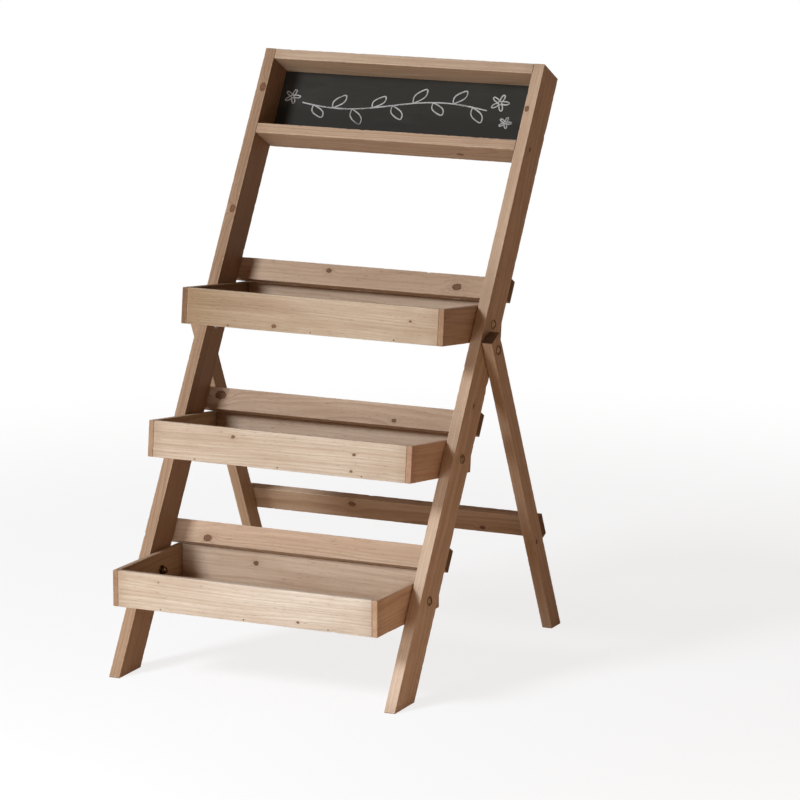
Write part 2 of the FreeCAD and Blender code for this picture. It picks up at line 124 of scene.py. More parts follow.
def pickOnly(*pieces):
    if bpy.context.mode != "OBJECT":
        bpy.ops.object.mode_set(mode="OBJECT")
    pickNone()
    for piece in pieces:
        piece.select_set(True)
    bpy.context.view_layer.objects.active = pieces[0]


def applyPlace():  # puts the place, turn and scale of what is picked into its mesh
    bpy.ops.object.transform_apply(location=True, rotation=True, scale=True)


def addBlock(name, low, high):
    pickNone()
    bpy.ops.mesh.primitive_cube_add(size=1, location=(low + high) / 2)
    block = bpy.context.object
    block.name = name
    block.scale = high - low
    applyPlace()
    return block


def pickEdges(piece, wanted):
    pickOnly(piece)
    bpy.ops.object.mode_set(mode="EDIT")
    bpy.ops.mesh.select_mode(type="EDGE")
    bpy.ops.mesh.select_all(action="DESELECT")
    mesh = bmesh.from_edit_mesh(piece.data)
    for edge in mesh.edges:
        edge.select = wanted(edge)
    mesh.select_flush_mode()
    bmesh.update_edit_mesh(piece.data)


def cutAlong(piece, axis, cuts):  # divides the edges that lie along an axis
    def wanted(edge):
        run = (edge.verts[0].co - edge.verts[1].co).normalized()
        return abs(run[axis]) > edgePick["alignment"]

    pickEdges(piece, wanted)
    bpy.ops.mesh.subdivide(number_cuts=cuts)


def easeEdges(piece, width, segments):
    pickEdges(piece, lambda edge: edge.calc_face_angle(0) > edgePick["sharpAngle"])
    bpy.ops.mesh.bevel(offset=width, segments=segments, profile=0.5, affect="EDGES", clamp_overlap=True)
    bpy.ops.object.mode_set(mode="OBJECT")


def turned(name, profile, sides):  # a lathe-like solid: each (radius, height) is the next ring
    radius, height = profile[0]
    pickNone()
    bpy.ops.mesh.primitive_circle_add(
        vertices=sides, radius=radius, fill_type="NGON", location=(0, 0, height))
    piece = bpy.context.object
    piece.name = name
    applyPlace()
    bpy.ops.object.mode_set(mode="EDIT")
    bpy.ops.mesh.select_all(action="SELECT")
    for nextRadius, nextHeight in profile[1:]:
        bpy.ops.mesh.extrude_region_move(TRANSFORM_OT_translate={"value": (0, 0, nextHeight - height)})
        grow = nextRadius / radius
        bpy.ops.transform.resize(value=(grow, grow, 1), center_override=(0, 0, nextHeight))
        radius, height = nextRadius, nextHeight
    bpy.ops.mesh.select_all(action="SELECT")
    bpy.ops.mesh.normals_make_consistent(inside=False)
    bpy.ops.object.mode_set(mode="OBJECT")
    return piece


def aimed(seat, direction, spin=0):  # a place whose +Z runs along the direction
    lay = direction.to_track_quat("Z", "Y").to_matrix().to_4x4()
    return Matrix.Translation(seat) @ lay @ Matrix.Rotation(spin, 4, "Z")


def subtract(piece, cutters):
    if not cutters:
        return
    pickOnly(*cutters)
    if len(cutters) > 1:
        bpy.ops.object.join()
    cutter = bpy.context.object
    pickOnly(piece)
    cut = piece.modifiers.new("cut", "BOOLEAN")
    cut.operation = "DIFFERENCE"
    cut.solver = "EXACT"
    cut.object = cutter
    bpy.ops.object.modifier_apply(modifier=cut.name)
    bpy.data.objects.remove(cutter)


def drill(seat, direction, depth, radius, endRadius=None, sides=24):  # a drill bit standing where it cuts
    pickNone()
    bpy.ops.mesh.primitive_cone_add(
        vertices=sides, radius1=radius, radius2=radius if endRadius is None else endRadius, depth=depth)
    bit = bpy.context.object
    bit.matrix_world = aimed(seat + direction * depth / 2, direction)
    applyPlace()
    return bit


def smooth(piece, angle):
    pickOnly(piece)
    bpy.ops.object.shade_smooth_by_angle(angle=math.radians(angle))
    even = piece.modifiers.new("even", "WEIGHTED_NORMAL")
    even.keep_sharp = True
    bpy.ops.object.modifier_apply(modifier=even.name)


def settle(piece, turn):
    pickOnly(piece)
    piece.matrix_world = turn
    applyPlace()


def standFor(piece, node, body, material):
    piece.data.materials.clear()
    piece.data.materials.append(material)
    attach(piece, body)
    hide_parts(node)


# Shader helpers

def wire(tree, value, socket):
    if isinstance(value, bpy.types.NodeSocket):
        tree.links.new(value, socket)
    else:
        socket.default_value = value


def calc(tree, operation, *values):
    node = tree.nodes.new("ShaderNodeMath")
    node.operation = operation
    for value, socket in zip(values, node.inputs):
        wire(tree, value, socket)
    return node.outputs[0]


def split(tree, vector):
    node = tree.nodes.new("ShaderNodeSeparateXYZ")
    wire(tree, vector, node.inputs[0])
    return node.outputs[0], node.outputs[1], node.outputs[2]


def combine(tree, *values):
    node = tree.nodes.new("ShaderNodeCombineXYZ")
    for value, socket in zip(values, node.inputs):
        wire(tree, value, socket)
    return node.outputs[0]


def vectorCalc(tree, operation, *values):
    node = tree.nodes.new("ShaderNodeVectorMath")
    node.operation = operation
    for value, socket in zip(values, node.inputs):
        wire(tree, value, socket)
    return node.outputs[0]


def times(tree, first, second):
    return calc(tree, "MULTIPLY", first, second)


def stretched(tree, vector, rates):
    return vectorCalc(tree, "MULTIPLY", vector, rates)


def swayed(tree, base, sway, reach):  # noise pushes the value to both sides
    return calc(tree, "MULTIPLY_ADD", calc(tree, "SUBTRACT", sway, 0.5), reach, base)


def noiseAt(tree, vector, scale=1.0, detail=2.0, rough=0.5):
    node = tree.nodes.new("ShaderNodeTexNoise")
    wire(tree, vector, node.inputs["Vector"])
    node.inputs["Scale"].default_value = scale
    node.inputs["Detail"].default_value = detail
    node.inputs["Roughness"].default_value = rough
    return node.outputs[0]


def remap(tree, value, low, high, newLow=0.0, newHigh=1.0):  # clamped, with soft shoulders
    node = tree.nodes.new("ShaderNodeMapRange")
    node.interpolation_type = "SMOOTHSTEP"
    for entry, socket in zip((value, low, high, newLow, newHigh), node.inputs):
        wire(tree, entry, socket)
    return node.outputs[0]


def mixColour(tree, factor, first, second, mode="MIX"):
    node = tree.nodes.new("ShaderNodeMix")
    node.data_type = "RGBA"
    node.blend_type = mode
    wire(tree, factor, node.inputs["Factor"])
    for entry, label in ((first, "A"), (second, "B")):
        socket = [s for s in node.inputs if s.name == label and s.type == "RGBA"][0]
        wire(tree, (*entry, 1) if isinstance(entry, tuple) else entry, socket)
    return [s for s in node.outputs if s.type == "RGBA"][0]


def newGroup(name, inputs, outputs):
    tree = bpy.data.node_groups.new(name, "ShaderNodeTree")
    for side, labels in (("INPUT", inputs), ("OUTPUT", outputs)):
        for label, kind in labels.items():
            tree.interface.new_socket(name=label, in_out=side, socket_type=f"NodeSocket{kind}")
    given = tree.nodes.new("NodeGroupInput").outputs
    made = tree.nodes.new("NodeGroupOutput").inputs
    return tree, given, made


def useGroup(tree, group, **values):
    node = tree.nodes.new("ShaderNodeGroup")
    node.node_tree = group
    for label, value in values.items():
        wire(tree, value, node.inputs[label])
    return node.outputs


def newMaterial(name):
    material = bpy.data.materials.new(name)
    material.use_nodes = True
    tree = material.node_tree
    return material, tree, tree.nodes["Principled BSDF"]


def objectPlace(tree):
    return tree.nodes.new("ShaderNodeTexCoord").outputs["Object"]


def attribute(tree, name):
    node = tree.nodes.new("ShaderNodeAttribute")
    node.attribute_name = name
    return node.outputs["Vector"]


def bump(tree, shader, height, distance):
    node = tree.nodes.new("ShaderNodeBump")
    node.inputs["Strength"].default_value = 1.0
    node.inputs["Distance"].default_value = distance
    wire(tree, height, node.inputs["Height"])
    wire(tree, node.outputs["Normal"], shader.inputs["Normal"])


# Fir: growth rings round a pith outside the board, fibres along it, and knots

ringMake = {
    "slowRates": (2.1, 9.0, 9.0), "slowReach": 0.030, "waveRates": (11.0, 55.0, 55.0), "waveReach": 0.0030,
    "yearRate": 90.0, "yearSwing": 2.2, "yearStrength": (0.3, 1.0),
    "lateRise": (0.25, 0.9), "lateFall": (1.0, 0.92),
    "streakRates": (3.0, 110.0, 110.0), "streakBand": (0.35, 0.72),
    "fibreRates": (22.0, 1100.0, 1100.0), "fibreBand": (0.3, 0.75),
    "poreRates": (90.0, 1500.0, 1500.0), "poreBand": (0.66, 0.76),
}


def makeRings():
    m = ringMake
    tree, given, made = newGroup(
        "firRings", {"Place": "Vector", "Log": "Vector", "Swirl": "Float", "RingWidth": "Float"},
        {"Ring": "Float", "Streak": "Float", "Fibre": "Float", "Pore": "Float"})
    along, across, through = split(tree, given["Place"])
    pithAcross, pithThrough, shift = split(tree, given["Log"])
    inLog = combine(tree, calc(tree, "ADD", along, shift), across, through)
    outAcross = calc(tree, "SUBTRACT", across, pithAcross)
    outThrough = calc(tree, "SUBTRACT", through, pithThrough)
    squares = calc(tree, "ADD", times(tree, outAcross, outAcross), times(tree, outThrough, outThrough))
    radius = calc(tree, "ADD", calc(tree, "SQRT", squares), given["Swirl"])
    for bend in ("slow", "wave"):
        sway = noiseAt(tree, stretched(tree, inLog, m[f"{bend}Rates"]))
        radius = swayed(tree, radius, sway, m[f"{bend}Reach"])
    years = noiseAt(tree, combine(tree, times(tree, radius, m["yearRate"]), shift, 0.0), detail=1.0)
    steady = calc(tree, "DIVIDE", radius, given["RingWidth"])
    turns = calc(tree, "MULTIPLY_ADD", years, m["yearSwing"], steady)
    part = calc(tree, "FRACT", turns)
    late = times(tree, remap(tree, part, *m["lateRise"]), remap(tree, part, *m["lateFall"]))
    dice = tree.nodes.new("ShaderNodeTexWhiteNoise")
    dice.noise_dimensions = "1D"
    wire(tree, calc(tree, "ADD", calc(tree, "FLOOR", turns), shift), dice.inputs["W"])
    strength = remap(tree, dice.outputs["Value"], 0.0, 1.0, *m["yearStrength"])
    wire(tree, times(tree, late, strength), made["Ring"])
    for line, detail, rough in (("streak", 3.0, 0.5), ("fibre", 3.0, 0.6), ("pore", 1.0, 0.5)):
        threads = noiseAt(tree, stretched(tree, inLog, m[f"{line}Rates"]), detail=detail, rough=rough)
        wire(tree, remap(tree, threads, *m[f"{line}Band"]), made[line.capitalize()])
    return tree


knotMake = {
    "raggedRate": 330.0, "raggedReach": 0.95, "lengthShare": 0.55, "coreBand": (1.1, 0.75),
    "yearRate": 17.0, "yearBand": (-0.4, 1.0), "rimAt": 0.95, "rimBand": (0.24, 0.02),
    "crackRate": 700.0, "crackBand": (0.36, 0.56, 0.25, 1.0), "haloFall": -0.22, "swirlShare": 1.6,
    "leastReach": 1e-5, "shownReach": 1e-4,
}


def makeKnot():
    m = knotMake
    tree, given, made = newGroup(
        "firKnot", {"Place": "Vector", "Knot": "Vector"},
        {"Core": "Float", "Rim": "Float", "Years": "Float", "Halo": "Float", "Swirl": "Float"})
    along, across, through = split(tree, given["Place"])
    knotAlong, knotAside, reach = split(tree, given["Knot"])
    onNarrow = calc(tree, "LESS_THAN", reach, 0.0)  # a negative reach shows on the board's narrow faces
    aside = calc(tree, "MULTIPLY_ADD", calc(tree, "SUBTRACT", through, across), onNarrow, across)
    size = calc(tree, "MAXIMUM", calc(tree, "ABSOLUTE", reach), m["leastReach"])
    there = calc(tree, "GREATER_THAN", calc(tree, "ABSOLUTE", reach), m["shownReach"])
    offAlong = calc(tree, "DIVIDE", calc(tree, "SUBTRACT", along, knotAlong), size)
    offAside = calc(tree, "DIVIDE", calc(tree, "SUBTRACT", aside, knotAside), size)
    ragged = noiseAt(tree, given["Place"], scale=m["raggedRate"], detail=3.0, rough=0.6)
    squares = calc(tree, "MULTIPLY_ADD", offAlong, times(tree, offAlong, m["lengthShare"]),
                   times(tree, offAside, offAside))
    far = swayed(tree, calc(tree, "SQRT", squares), ragged, m["raggedReach"])
    core = times(tree, there, remap(tree, far, *m["coreBand"]))
    wire(tree, core, made["Core"])
    years = calc(tree, "SINE", times(tree, far, m["yearRate"]))
    wire(tree, times(tree, core, remap(tree, years, *m["yearBand"])), made["Years"])
    fromRim = calc(tree, "ABSOLUTE", calc(tree, "SUBTRACT", far, m["rimAt"]))
    cracked = remap(tree, noiseAt(tree, given["Place"], scale=m["crackRate"], detail=1.0), *m["crackBand"])
    rim = times(tree, remap(tree, fromRim, *m["rimBand"]), cracked)
    wire(tree, times(tree, there, rim), made["Rim"])
    fade = times(tree, times(tree, far, far), m["haloFall"])
    halo = times(tree, there, calc(tree, "EXPONENT", fade))
    wire(tree, halo, made["Halo"])
    wire(tree, times(tree, times(tree, halo, size), m["swirlShare"]), made["Swirl"])
    return tree


edgeMake = {
    "raggedRate": 260.0, "arrisWidth": (0.3, 0.75, 0.0006, 0.0034), "arrisFull": 0.0002,
    "endBand": (0.0007, 0.0003), "nearSway": 0.012, "nearBand": (0.030, 0.004),
}


def makeEdges():
    m = edgeMake
    tree, given, made = newGroup(
        "boardEdges", {"Place": "Vector", "Half": "Vector"},
        {"Arris": "Float", "End": "Float", "NearEnd": "Float"})
    inset = vectorCalc(tree, "SUBTRACT", given["Half"], vectorCalc(tree, "ABSOLUTE", given["Place"]))
    fromEnd, fromSide, fromFace = split(tree, inset)
    least = calc(tree, "MINIMUM", fromEnd, calc(tree, "MINIMUM", fromSide, fromFace))
    most = calc(tree, "MAXIMUM", fromEnd, calc(tree, "MAXIMUM", fromSide, fromFace))
    total = calc(tree, "ADD", fromEnd, calc(tree, "ADD", fromSide, fromFace))
    fromArris = calc(tree, "SUBTRACT", total, calc(tree, "ADD", least, most))  # the middle one of the three
    ragged = noiseAt(tree, given["Place"], scale=m["raggedRate"], detail=4.0, rough=0.65)
    width = remap(tree, ragged, *m["arrisWidth"])
    wire(tree, remap(tree, fromArris, width, m["arrisFull"]), made["Arris"])
    wire(tree, remap(tree, fromEnd, *m["endBand"]), made["End"])
    near = calc(tree, "MULTIPLY_ADD", ragged, m["nearSway"], fromEnd)
    wire(tree, remap(tree, near, *m["nearBand"]), made["NearEnd"])
    return tree


firRings = makeRings()
firKnot = makeKnot()
boardEdges = makeEdges()
knotNames = ("knotOne", "knotTwo", "knotThree")

# The frame's end grain colour is darker than end grain alone: it also paints the shade on the leg and batten ends.
firLook = {
    "early": (0.550, 0.418, 0.302), "late": (0.300, 0.185, 0.110), "streak": (0.385, 0.258, 0.168),
    "fibre": (0.280, 0.172, 0.105), "knot": (0.168, 0.070, 0.027), "rim": (0.040, 0.018, 0.009),
    "worn": (0.620, 0.490, 0.365), "endGrainAndShade": (0.36, 0.30, 0.25),
    "ringWidth": 0.0034, "ringMix": 0.55, "blotch": 0.3,
}
trayLook = {**firLook, "early": (0.610, 0.480, 0.360), "endGrainAndShade": (0.84, 0.80, 0.76),
            "ringWidth": 0.0039, "ringMix": 0.37, "blotch": 0.42}
firMix = {
    "blotchRates": (9.0, 26.0, 26.0), "blotchBand": (0.42, 0.75), "streak": 0.42, "fibre": 0.26, "pore": 0.4,
    "halo": 0.28, "core": 0.8, "years": 0.55, "rim": 0.9, "arris": 0.34, "nearEnd": 0.28,
    "rough": 0.56, "fibreRough": 0.14, "ringRough": -0.08, "endRough": 0.2, "specular": 0.08,
    "ringRelief": 0.5, "fibreRelief": -0.4, "poreRelief": -0.6, "rimRelief": -0.9, "relief": 0.00022,
}


def makeFir(name, look):
    m = firMix
    material, tree, shader = newMaterial(name)
    place = attribute(tree, "boardPlace")
    knots = [useGroup(tree, firKnot, Place=place, Knot=attribute(tree, knot)) for knot in knotNames]

    def strongest(label):
        first, second, third = (knot[label] for knot in knots)
        return calc(tree, "MAXIMUM", first, calc(tree, "MAXIMUM", second, third))

    def coat(under, mask, share, over):
        return mixColour(tree, times(tree, mask, share), under, over)

    swirl = calc(tree, "ADD", knots[0]["Swirl"], calc(tree, "ADD", knots[1]["Swirl"], knots[2]["Swirl"]))
    grain = useGroup(tree, firRings, Place=place, Log=attribute(tree, "boardLog"), Swirl=swirl,
                     RingWidth=look["ringWidth"])
    edges = useGroup(tree, boardEdges, Place=place, Half=attribute(tree, "boardHalf"))
    blotch = noiseAt(tree, stretched(tree, place, m["blotchRates"]), detail=4.0)
    blotch = remap(tree, blotch, *m["blotchBand"], 0.0, look["blotch"])
    colour = coat(look["early"], grain["Ring"], look["ringMix"], look["late"])
    colour = coat(colour, grain["Streak"], m["streak"], look["streak"])
    colour = coat(colour, grain["Fibre"], m["fibre"], look["fibre"])
    colour = mixColour(tree, blotch, colour, look["streak"])
    # board tint: wood tone, and on some boards painted light and shade laid over it
    colour = mixColour(tree, 1.0, colour, attribute(tree, "boardTint"), "MULTIPLY")
    colour = coat(colour, strongest("Halo"), m["halo"], look["late"])
    colour = coat(colour, strongest("Core"), m["core"], look["knot"])
    colour = coat(colour, strongest("Years"), m["years"], look["rim"])
    colour = coat(colour, strongest("Rim"), m["rim"], look["rim"])
    colour = coat(colour, edges["Arris"], m["arris"], look["worn"])
    colour = coat(colour, edges["NearEnd"], m["nearEnd"], look["fibre"])
    # end faces darkened: real end-grain darkness, on the frame timber deepened by painted shade
    colour = mixColour(tree, edges["End"], colour, look["endGrainAndShade"], "MULTIPLY")
    colour = coat(colour, grain["Pore"], m["pore"], look["rim"])
    wire(tree, colour, shader.inputs["Base Color"])
    rough = calc(tree, "MULTIPLY_ADD", grain["Fibre"], m["fibreRough"], m["rough"])
    rough = calc(tree, "MULTIPLY_ADD", grain["Ring"], m["ringRough"], rough)
    rough = calc(tree, "MULTIPLY_ADD", edges["End"], m["endRough"], rough)
    wire(tree, rough, shader.inputs["Roughness"])
    shader.inputs["Specular IOR Level"].default_value = m["specular"]
    relief = times(tree, grain["Fibre"], m["fibreRelief"])
    relief = calc(tree, "MULTIPLY_ADD", grain["Ring"], m["ringRelief"], relief)
    relief = calc(tree, "MULTIPLY_ADD", grain["Pore"], m["poreRelief"], relief)
    relief = calc(tree, "MULTIPLY_ADD", strongest("Rim"), m["rimRelief"], relief)
    bump(tree, shader, relief, m["relief"])
    return material


frameFir = makeFir("frameFir", firLook)
trayFir = makeFir("trayFir", trayLook)
print("timber ready")


# Boards

boardMake = {
    "ease": 0.0011, "easeSegments": 3, "step": 0.0045, "smoothAngle": 40,
    "wander": 0.00018, "waveRate": 9.0, "waveShift": 7,
    "arrisBand": 1.6, "arrisRate": 190.0, "arrisShifts": (3, 5), "arrisWear": 0.00045,
    "nickSpacing": 0.11, "nickLength": (0.0025, 0.008), "nickDepth": (0.0003, 0.0009), "noiseShift": (0, 50),
    "pithAcross": (-0.05, 0.05), "pithThrough": (0.03, 0.08), "logShift": (1, 40), "tint": (0.9, 1.08),
}


def boardOrder(low, high):  # axes of a board by size: along, across, through
    return sorted(range(3), key=lambda axis: low[axis] - high[axis])


def wearBoard(board, order, low, high, dice):
    m = boardMake
    along, across, through = order
    middle, half = (low + high) / 2, (high - low) / 2
    nicks = []
    for _ in range(round(2 * half[along] / m["nickSpacing"])):
        corner = (dice.choice((-1, 1)), dice.choice((-1, 1)))
        spot = dice.uniform(-half[along], half[along])
        length = dice.uniform(*m["nickLength"])
        nicks.append((corner, spot, length, dice.uniform(*m["nickDepth"])))
    shift = dice.uniform(*m["noiseShift"])
    for vertex in board.data.vertices:
        place = vertex.co - middle
        sides = [math.copysign(1, place[axis]) for axis in (across, through)]
        for axis, side in zip((across, through), sides):  # planed faces wander a little, inwards only
            wave = noise.noise(Vector((place[along] * m["waveRate"], shift + axis * m["waveShift"], side)))
            vertex.co[axis] -= side * (1 + wave) / 2 * m["wander"]
        insets = [half[axis] - abs(place[axis]) for axis in (across, through)]
        if max(insets) < m["ease"] * m["arrisBand"]:  # rubbed arrises, with a nick here and there
            first, second = (side * step for side, step in zip(sides, m["arrisShifts"]))
            rub = noise.noise(Vector((place[along] * m["arrisRate"], shift + first, second)))
            pull = max(0, rub) * m["arrisWear"]
            for corner, spot, length, depth in nicks:
                if corner == (sides[0], sides[1]):
                    pull += depth * math.exp(-((place[along] - spot) * 2 / length) ** 2)
            for axis, side in zip((across, through), sides):
                vertex.co[axis] -= side * pull


def markBoard(board, order, low, high, look, dice):  # what the timber needs to know of this board
    m = boardMake
    middle, half = (low + high) / 2, (high - low) / 2
    count = len(board.data.vertices)
    pith = look.get("pith")
    if not pith:
        pith = (dice.uniform(*m["pithAcross"]), dice.choice((-1, 1)) * dice.uniform(*m["pithThrough"]))
    knots = [*look.get("knots", []), *[(0, 0, 0)] * len(knotNames)]
    # the board's tone: random wood tone, and on some boards painted light and shade
    tint = Vector(look.get("tint") or [dice.uniform(*m["tint"])] * 3)
    # painted light and shade: a second tint that fades in towards the board's start, its low or left end
    leftTint = Vector(look.get("leftTint") or tint)
    steady = {
        "boardHalf": [half[axis] for axis in order], "boardLog": [*pith, dice.uniform(*m["logShift"])],
        **dict(zip(knotNames, knots)),
    }
    values = {name: list(value) * count for name, value in steady.items()}
    values["boardPlace"] = [(v.co - middle)[axis] for v in board.data.vertices for axis in order]
    startPaintedShare = [max(0, -(v.co - middle)[order[0]] / half[order[0]]) for v in board.data.vertices]
    values["boardTint"] = [part for share in startPaintedShare for part in tint.lerp(leftTint, share)]
    for name, flat in values.items():
        board.data.attributes.new(name, "FLOAT_VECTOR", "POINT").data.foreach_set("vector", flat)


def cutBoard(node, body, turn, material, look, makeCutters=None, onGround=False):
    dice = random.Random(node)
    low, high = localBox(node, turn)
    order = boardOrder(low, high)
    board = addBlock(pieceName(node), low, high)
    if onGround:  # the foot is sawn level with the ground
        back = turn.inverted()
        bpy.ops.object.mode_set(mode="EDIT")
        bpy.ops.mesh.select_all(action="SELECT")
        bpy.ops.mesh.bisect(plane_co=back @ Vector((0, 0, 0)), plane_no=back @ Vector((0, 0, -1)),
                            use_fill=True, clear_outer=True)
        bpy.ops.object.mode_set(mode="OBJECT")
    strips = round((high - low)[order[0]] / boardMake["step"] / 3)
    for cuts in (strips, 2):  # one subdivide stops at a hundred cuts
        cutAlong(board, order[0], cuts)
    easeEdges(board, boardMake["ease"], boardMake["easeSegments"])
    wearBoard(board, order, low, high, dice)
    if makeCutters:
        subtract(board, makeCutters(low, high))
    markBoard(board, order, low, high, look, dice)
    smooth(board, boardMake["smoothAngle"])
    settle(board, turn)
    standFor(board, node, body, material)


def headsOn(heads, low, high, slack=0.0004):  # fastener heads that lie on this board
    inside = []
    for seat, direction in heads:
        if all(low[axis] - slack < seat[axis] < high[axis] + slack for axis in range(3)):
            inside.append((seat, direction))
    return inside


# Fasteners: where each head sits and which way it points, in its own board's directions

def headSeats(node, turn, outward):  # outward picks the sign of the head's end along the fastener
    seats = []
    for low, high in solidsOf(node, turn):
        axis = max(range(3), key=lambda index: high[index] - low[index])
        seat = (low + high) / 2
        side = outward(axis, seat)
        seat[axis] = high[axis] if side > 0 else low[axis]
        direction = Vector([-side * float(index == axis) for index in range(3)])
        seats.append((seat, direction))
    return seats


def rearwards(axis, seat):
    return 1


def sideways(axis, seat):
    return math.copysign(1, seat.x)


def towardsMiddle(axis, seat):
    return -math.copysign(1, seat.x)


def fromTrayMiddle(tier):
    low, high = localBox(f"{tier}_tray_floor", trayTurns[tier])
    middle = (low + high) / 2
    return lambda axis, seat: math.copysign(1, seat[axis] - middle[axis])


battenScrews = headSeats("batten_screws", ladderTurn, rearwards)
crossScrews = headSeats("cross_batten_screws", legTurn, rearwards)
trayBrads = {t: headSeats(f"{t}_tray_brads", trayTurns[t], fromTrayMiddle(t)) for t in tiers}

holeMake = {
    "overrun": 0.001, "boltRadius": 0.00305,
    "insertRadius": 0.00455, "flangeRadius": 0.00655, "flangeDepth": 0.0017,
    "screwRadius": 0.0038, "screwPilot": 0.0018, "screwDepth": 0.0027, "screwLift": 0.0002,
    "bradRadius": 0.001375, "bradEnd": 0.00088, "bradDepth": 0.0014, "bradLift": 0.0003, "bradSides": 14,
    "rebatePlay": 0.0005, "rebateReach": 0.004,
}


def throughHole(seat, direction, length, radius):
    start = seat - direction * holeMake["overrun"]
    return drill(start, direction, length + 2 * holeMake["overrun"], radius)


def screwCuts(heads):
    def cutters(low, high):
        bits = []
        for seat, direction in headsOn(heads, low, high):
            bits.append(drill(seat - direction * holeMake["screwLift"], direction, holeMake["screwDepth"],
                              holeMake["screwRadius"], holeMake["screwPilot"]))
        return bits
    return cutters


def bradCuts(tier, isSide):
    def cutters(low, high):
        bits = []
        for seat, direction in headsOn(trayBrads[tier], low, high):
            bits.append(drill(seat - direction * holeMake["bradLift"], direction, holeMake["bradDepth"],
                              holeMake["bradRadius"], holeMake["bradEnd"], holeMake["bradSides"]))
        if isSide:
            pivot = trayTurns[tier].inverted() @ pivotOf(f"{tier}_tray_fold")
            pivot.x = low.x
            bits.append(throughHole(pivot, Vector((1, 0, 0)), high.x - low.x, holeMake["boltRadius"]))
        return bits
    return cutters


def stileCuts(low, high):
    back = ladderTurn.inverted()
    inwards = -math.copysign(1, low.x + high.x)
    outer, inner = (high.x, low.x) if inwards < 0 else (low.x, high.x)
    bits = []
    for tier in tiers:
        pivot = back @ pivotOf(f"{tier}_tray_fold")
        pivot.x = outer
        bits.append(throughHole(pivot, Vector((inwards, 0, 0)), high.x - low.x, holeMake["boltRadius"]))
    pivot = back @ pivotOf("rear_leg_fold")
    pivot.x = inner
    outwards = Vector((-inwards, 0, 0))
    bits.append(throughHole(pivot, outwards, high.x - low.x, holeMake["insertRadius"]))
    bits.append(drill(pivot - outwards * holeMake["overrun"], outwards,
                      holeMake["flangeDepth"] + holeMake["overrun"], holeMake["flangeRadius"]))
    return [*bits, *railCuts(low, high)]


def railCuts(low, high):  # the step behind the opening that the chalkboard lies in
    boardLow, boardHigh = localBox("chalkboard", ladderTurn)
    play = Vector((holeMake["rebatePlay"], 0, holeMake["rebatePlay"]))
    behind = Vector((0, holeMake["rebateReach"], 0))
    return [addBlock("rebate", boardLow - play, boardHigh + play + behind)]


def legCuts(low, high):
    pivot = legTurn.inverted() @ pivotOf("rear_leg_fold")
    pivot.x = low.x
    return [throughHole(pivot, Vector((1, 0, 0)), high.x - low.x, holeMake["boltRadius"])]


# Knots are (along, aside, reach) from the board's middle; a negative reach shows on the narrow faces
# Stile tints are painted light and shade: the left stile is darkened as painted shade, and both stiles grow
# lighter towards their low ends, the right one as a painted pool of sunlight.
stileLooks = {
    "left": {"knots": [(0.4045, 0.0024, -0.0046), (0.2205, 0.0023, -0.0040), (-0.115, -0.006, 0.004)],
             "tint": (0.61, 0.53, 0.46), "leftTint": (0.70, 0.63, 0.56), "pith": (0.035, 0.052)},
    "right": {"knots": [(-0.0256, -0.0011, 0.0022), (0.343, -0.0108, 0.0024), (0.3966, -0.0033, -0.0030)],
              "tint": (0.96, 0.93, 0.90), "leftTint": (1.20, 1.25, 1.32), "pith": (-0.03, -0.06)},
}
for side, look in stileLooks.items():
    cutBoard(f"{side}_stile", "front_frame", ladderTurn, frameFir, look, stileCuts, True)

railLooks = {
    "top_rail": {"tint": (0.88, 0.88, 0.87), "pith": (0.02, -0.045)},
    "board_rail": {"tint": (0.85, 0.81, 0.77), "pith": (-0.015, 0.05), "knots": [(0.105, 0.006, 0.0035)]},
}
for node, look in railLooks.items():
    cutBoard(node, "front_frame", ladderTurn, frameFir, look, railCuts)

battenLooks = {
    "top": {"knots": [(0.1362, -0.0025, 0.0048), (-0.061, 0.006, 0.003)],
            "tint": (1.04, 1.00, 0.96), "pith": (0.03, 0.05)},
    "middle": {"knots": [(-0.1798, 0.0045, 0.0060), (0.09, -0.008, 0.0026)],
               "tint": (0.96, 0.93, 0.91), "pith": (-0.02, 0.05)},
    "bottom": {"knots": [(-0.1462, -0.0079, 0.0046)],
               "tint": (1.0, 0.96, 0.93), "pith": (0.015, -0.04)},
}
battenCuts = screwCuts(battenScrews)
for tier, look in battenLooks.items():
    cutBoard(f"{tier}_batten", "front_frame", ladderTurn, frameFir, look, battenCuts)

# Tray tints are painted light and shade: the top tier is darker and the bottom tier lighter and bluer, front
# boards darken towards their left ends, and the left side boards are darkened as painted shade.
trayLooks = {
    "top": {
        "front": {"knots": [(0.1484, 0.0049, 0.0015), (-0.0552, -0.0175, 0.0026)],
                  "tint": (0.81, 0.84, 0.82), "leftTint": (0.52, 0.475, 0.385), "pith": (0.085, 0.040)},
        "left_side": {"tint": (0.36, 0.29, 0.215)}, "right_side": {"tint": (0.77, 0.70, 0.64)}},
    "middle": {
        "front": {"knots": [(-0.0687, 0.0135, 0.0022), (0.1129, 0.0057, 0.0018), (0.1096, -0.0165, 0.0016)],
                  "tint": (0.92, 1.00, 1.05), "leftTint": (0.84, 0.87, 0.89), "pith": (-0.095, 0.035)},
        "left_side": {"tint": (0.80, 0.76, 0.70)}, "right_side": {"tint": (0.97, 0.85, 0.82)}},
    "bottom": {
        "front": {"knots": [(0.0813, -0.0168, 0.0015), (-0.128, 0.0150, 0.0009)],
                  "tint": (1.05, 1.20, 1.34), "leftTint": (0.90, 0.96, 0.99), "pith": (0.07, -0.05)},
        "back": {"knots": [(-0.075, 0.009, 0.003)], "pith": (0.045, 0.03)},
        "left_side": {"tint": (0.72, 0.65, 0.57)}, "right_side": {"tint": (1.08, 1.02, 0.98)}},
}
for tier in tiers:
    for part in ("left_side", "right_side", "front", "back", "floor"):
        node = f"{tier}_tray_{part}"
        look = trayLooks[tier].get(part, {})
        cutters = None if part == "floor" else bradCuts(tier, part.endswith("side"))
        cutBoard(node, f"{tier}_tray", trayTurns[tier], trayFir, look, cutters)
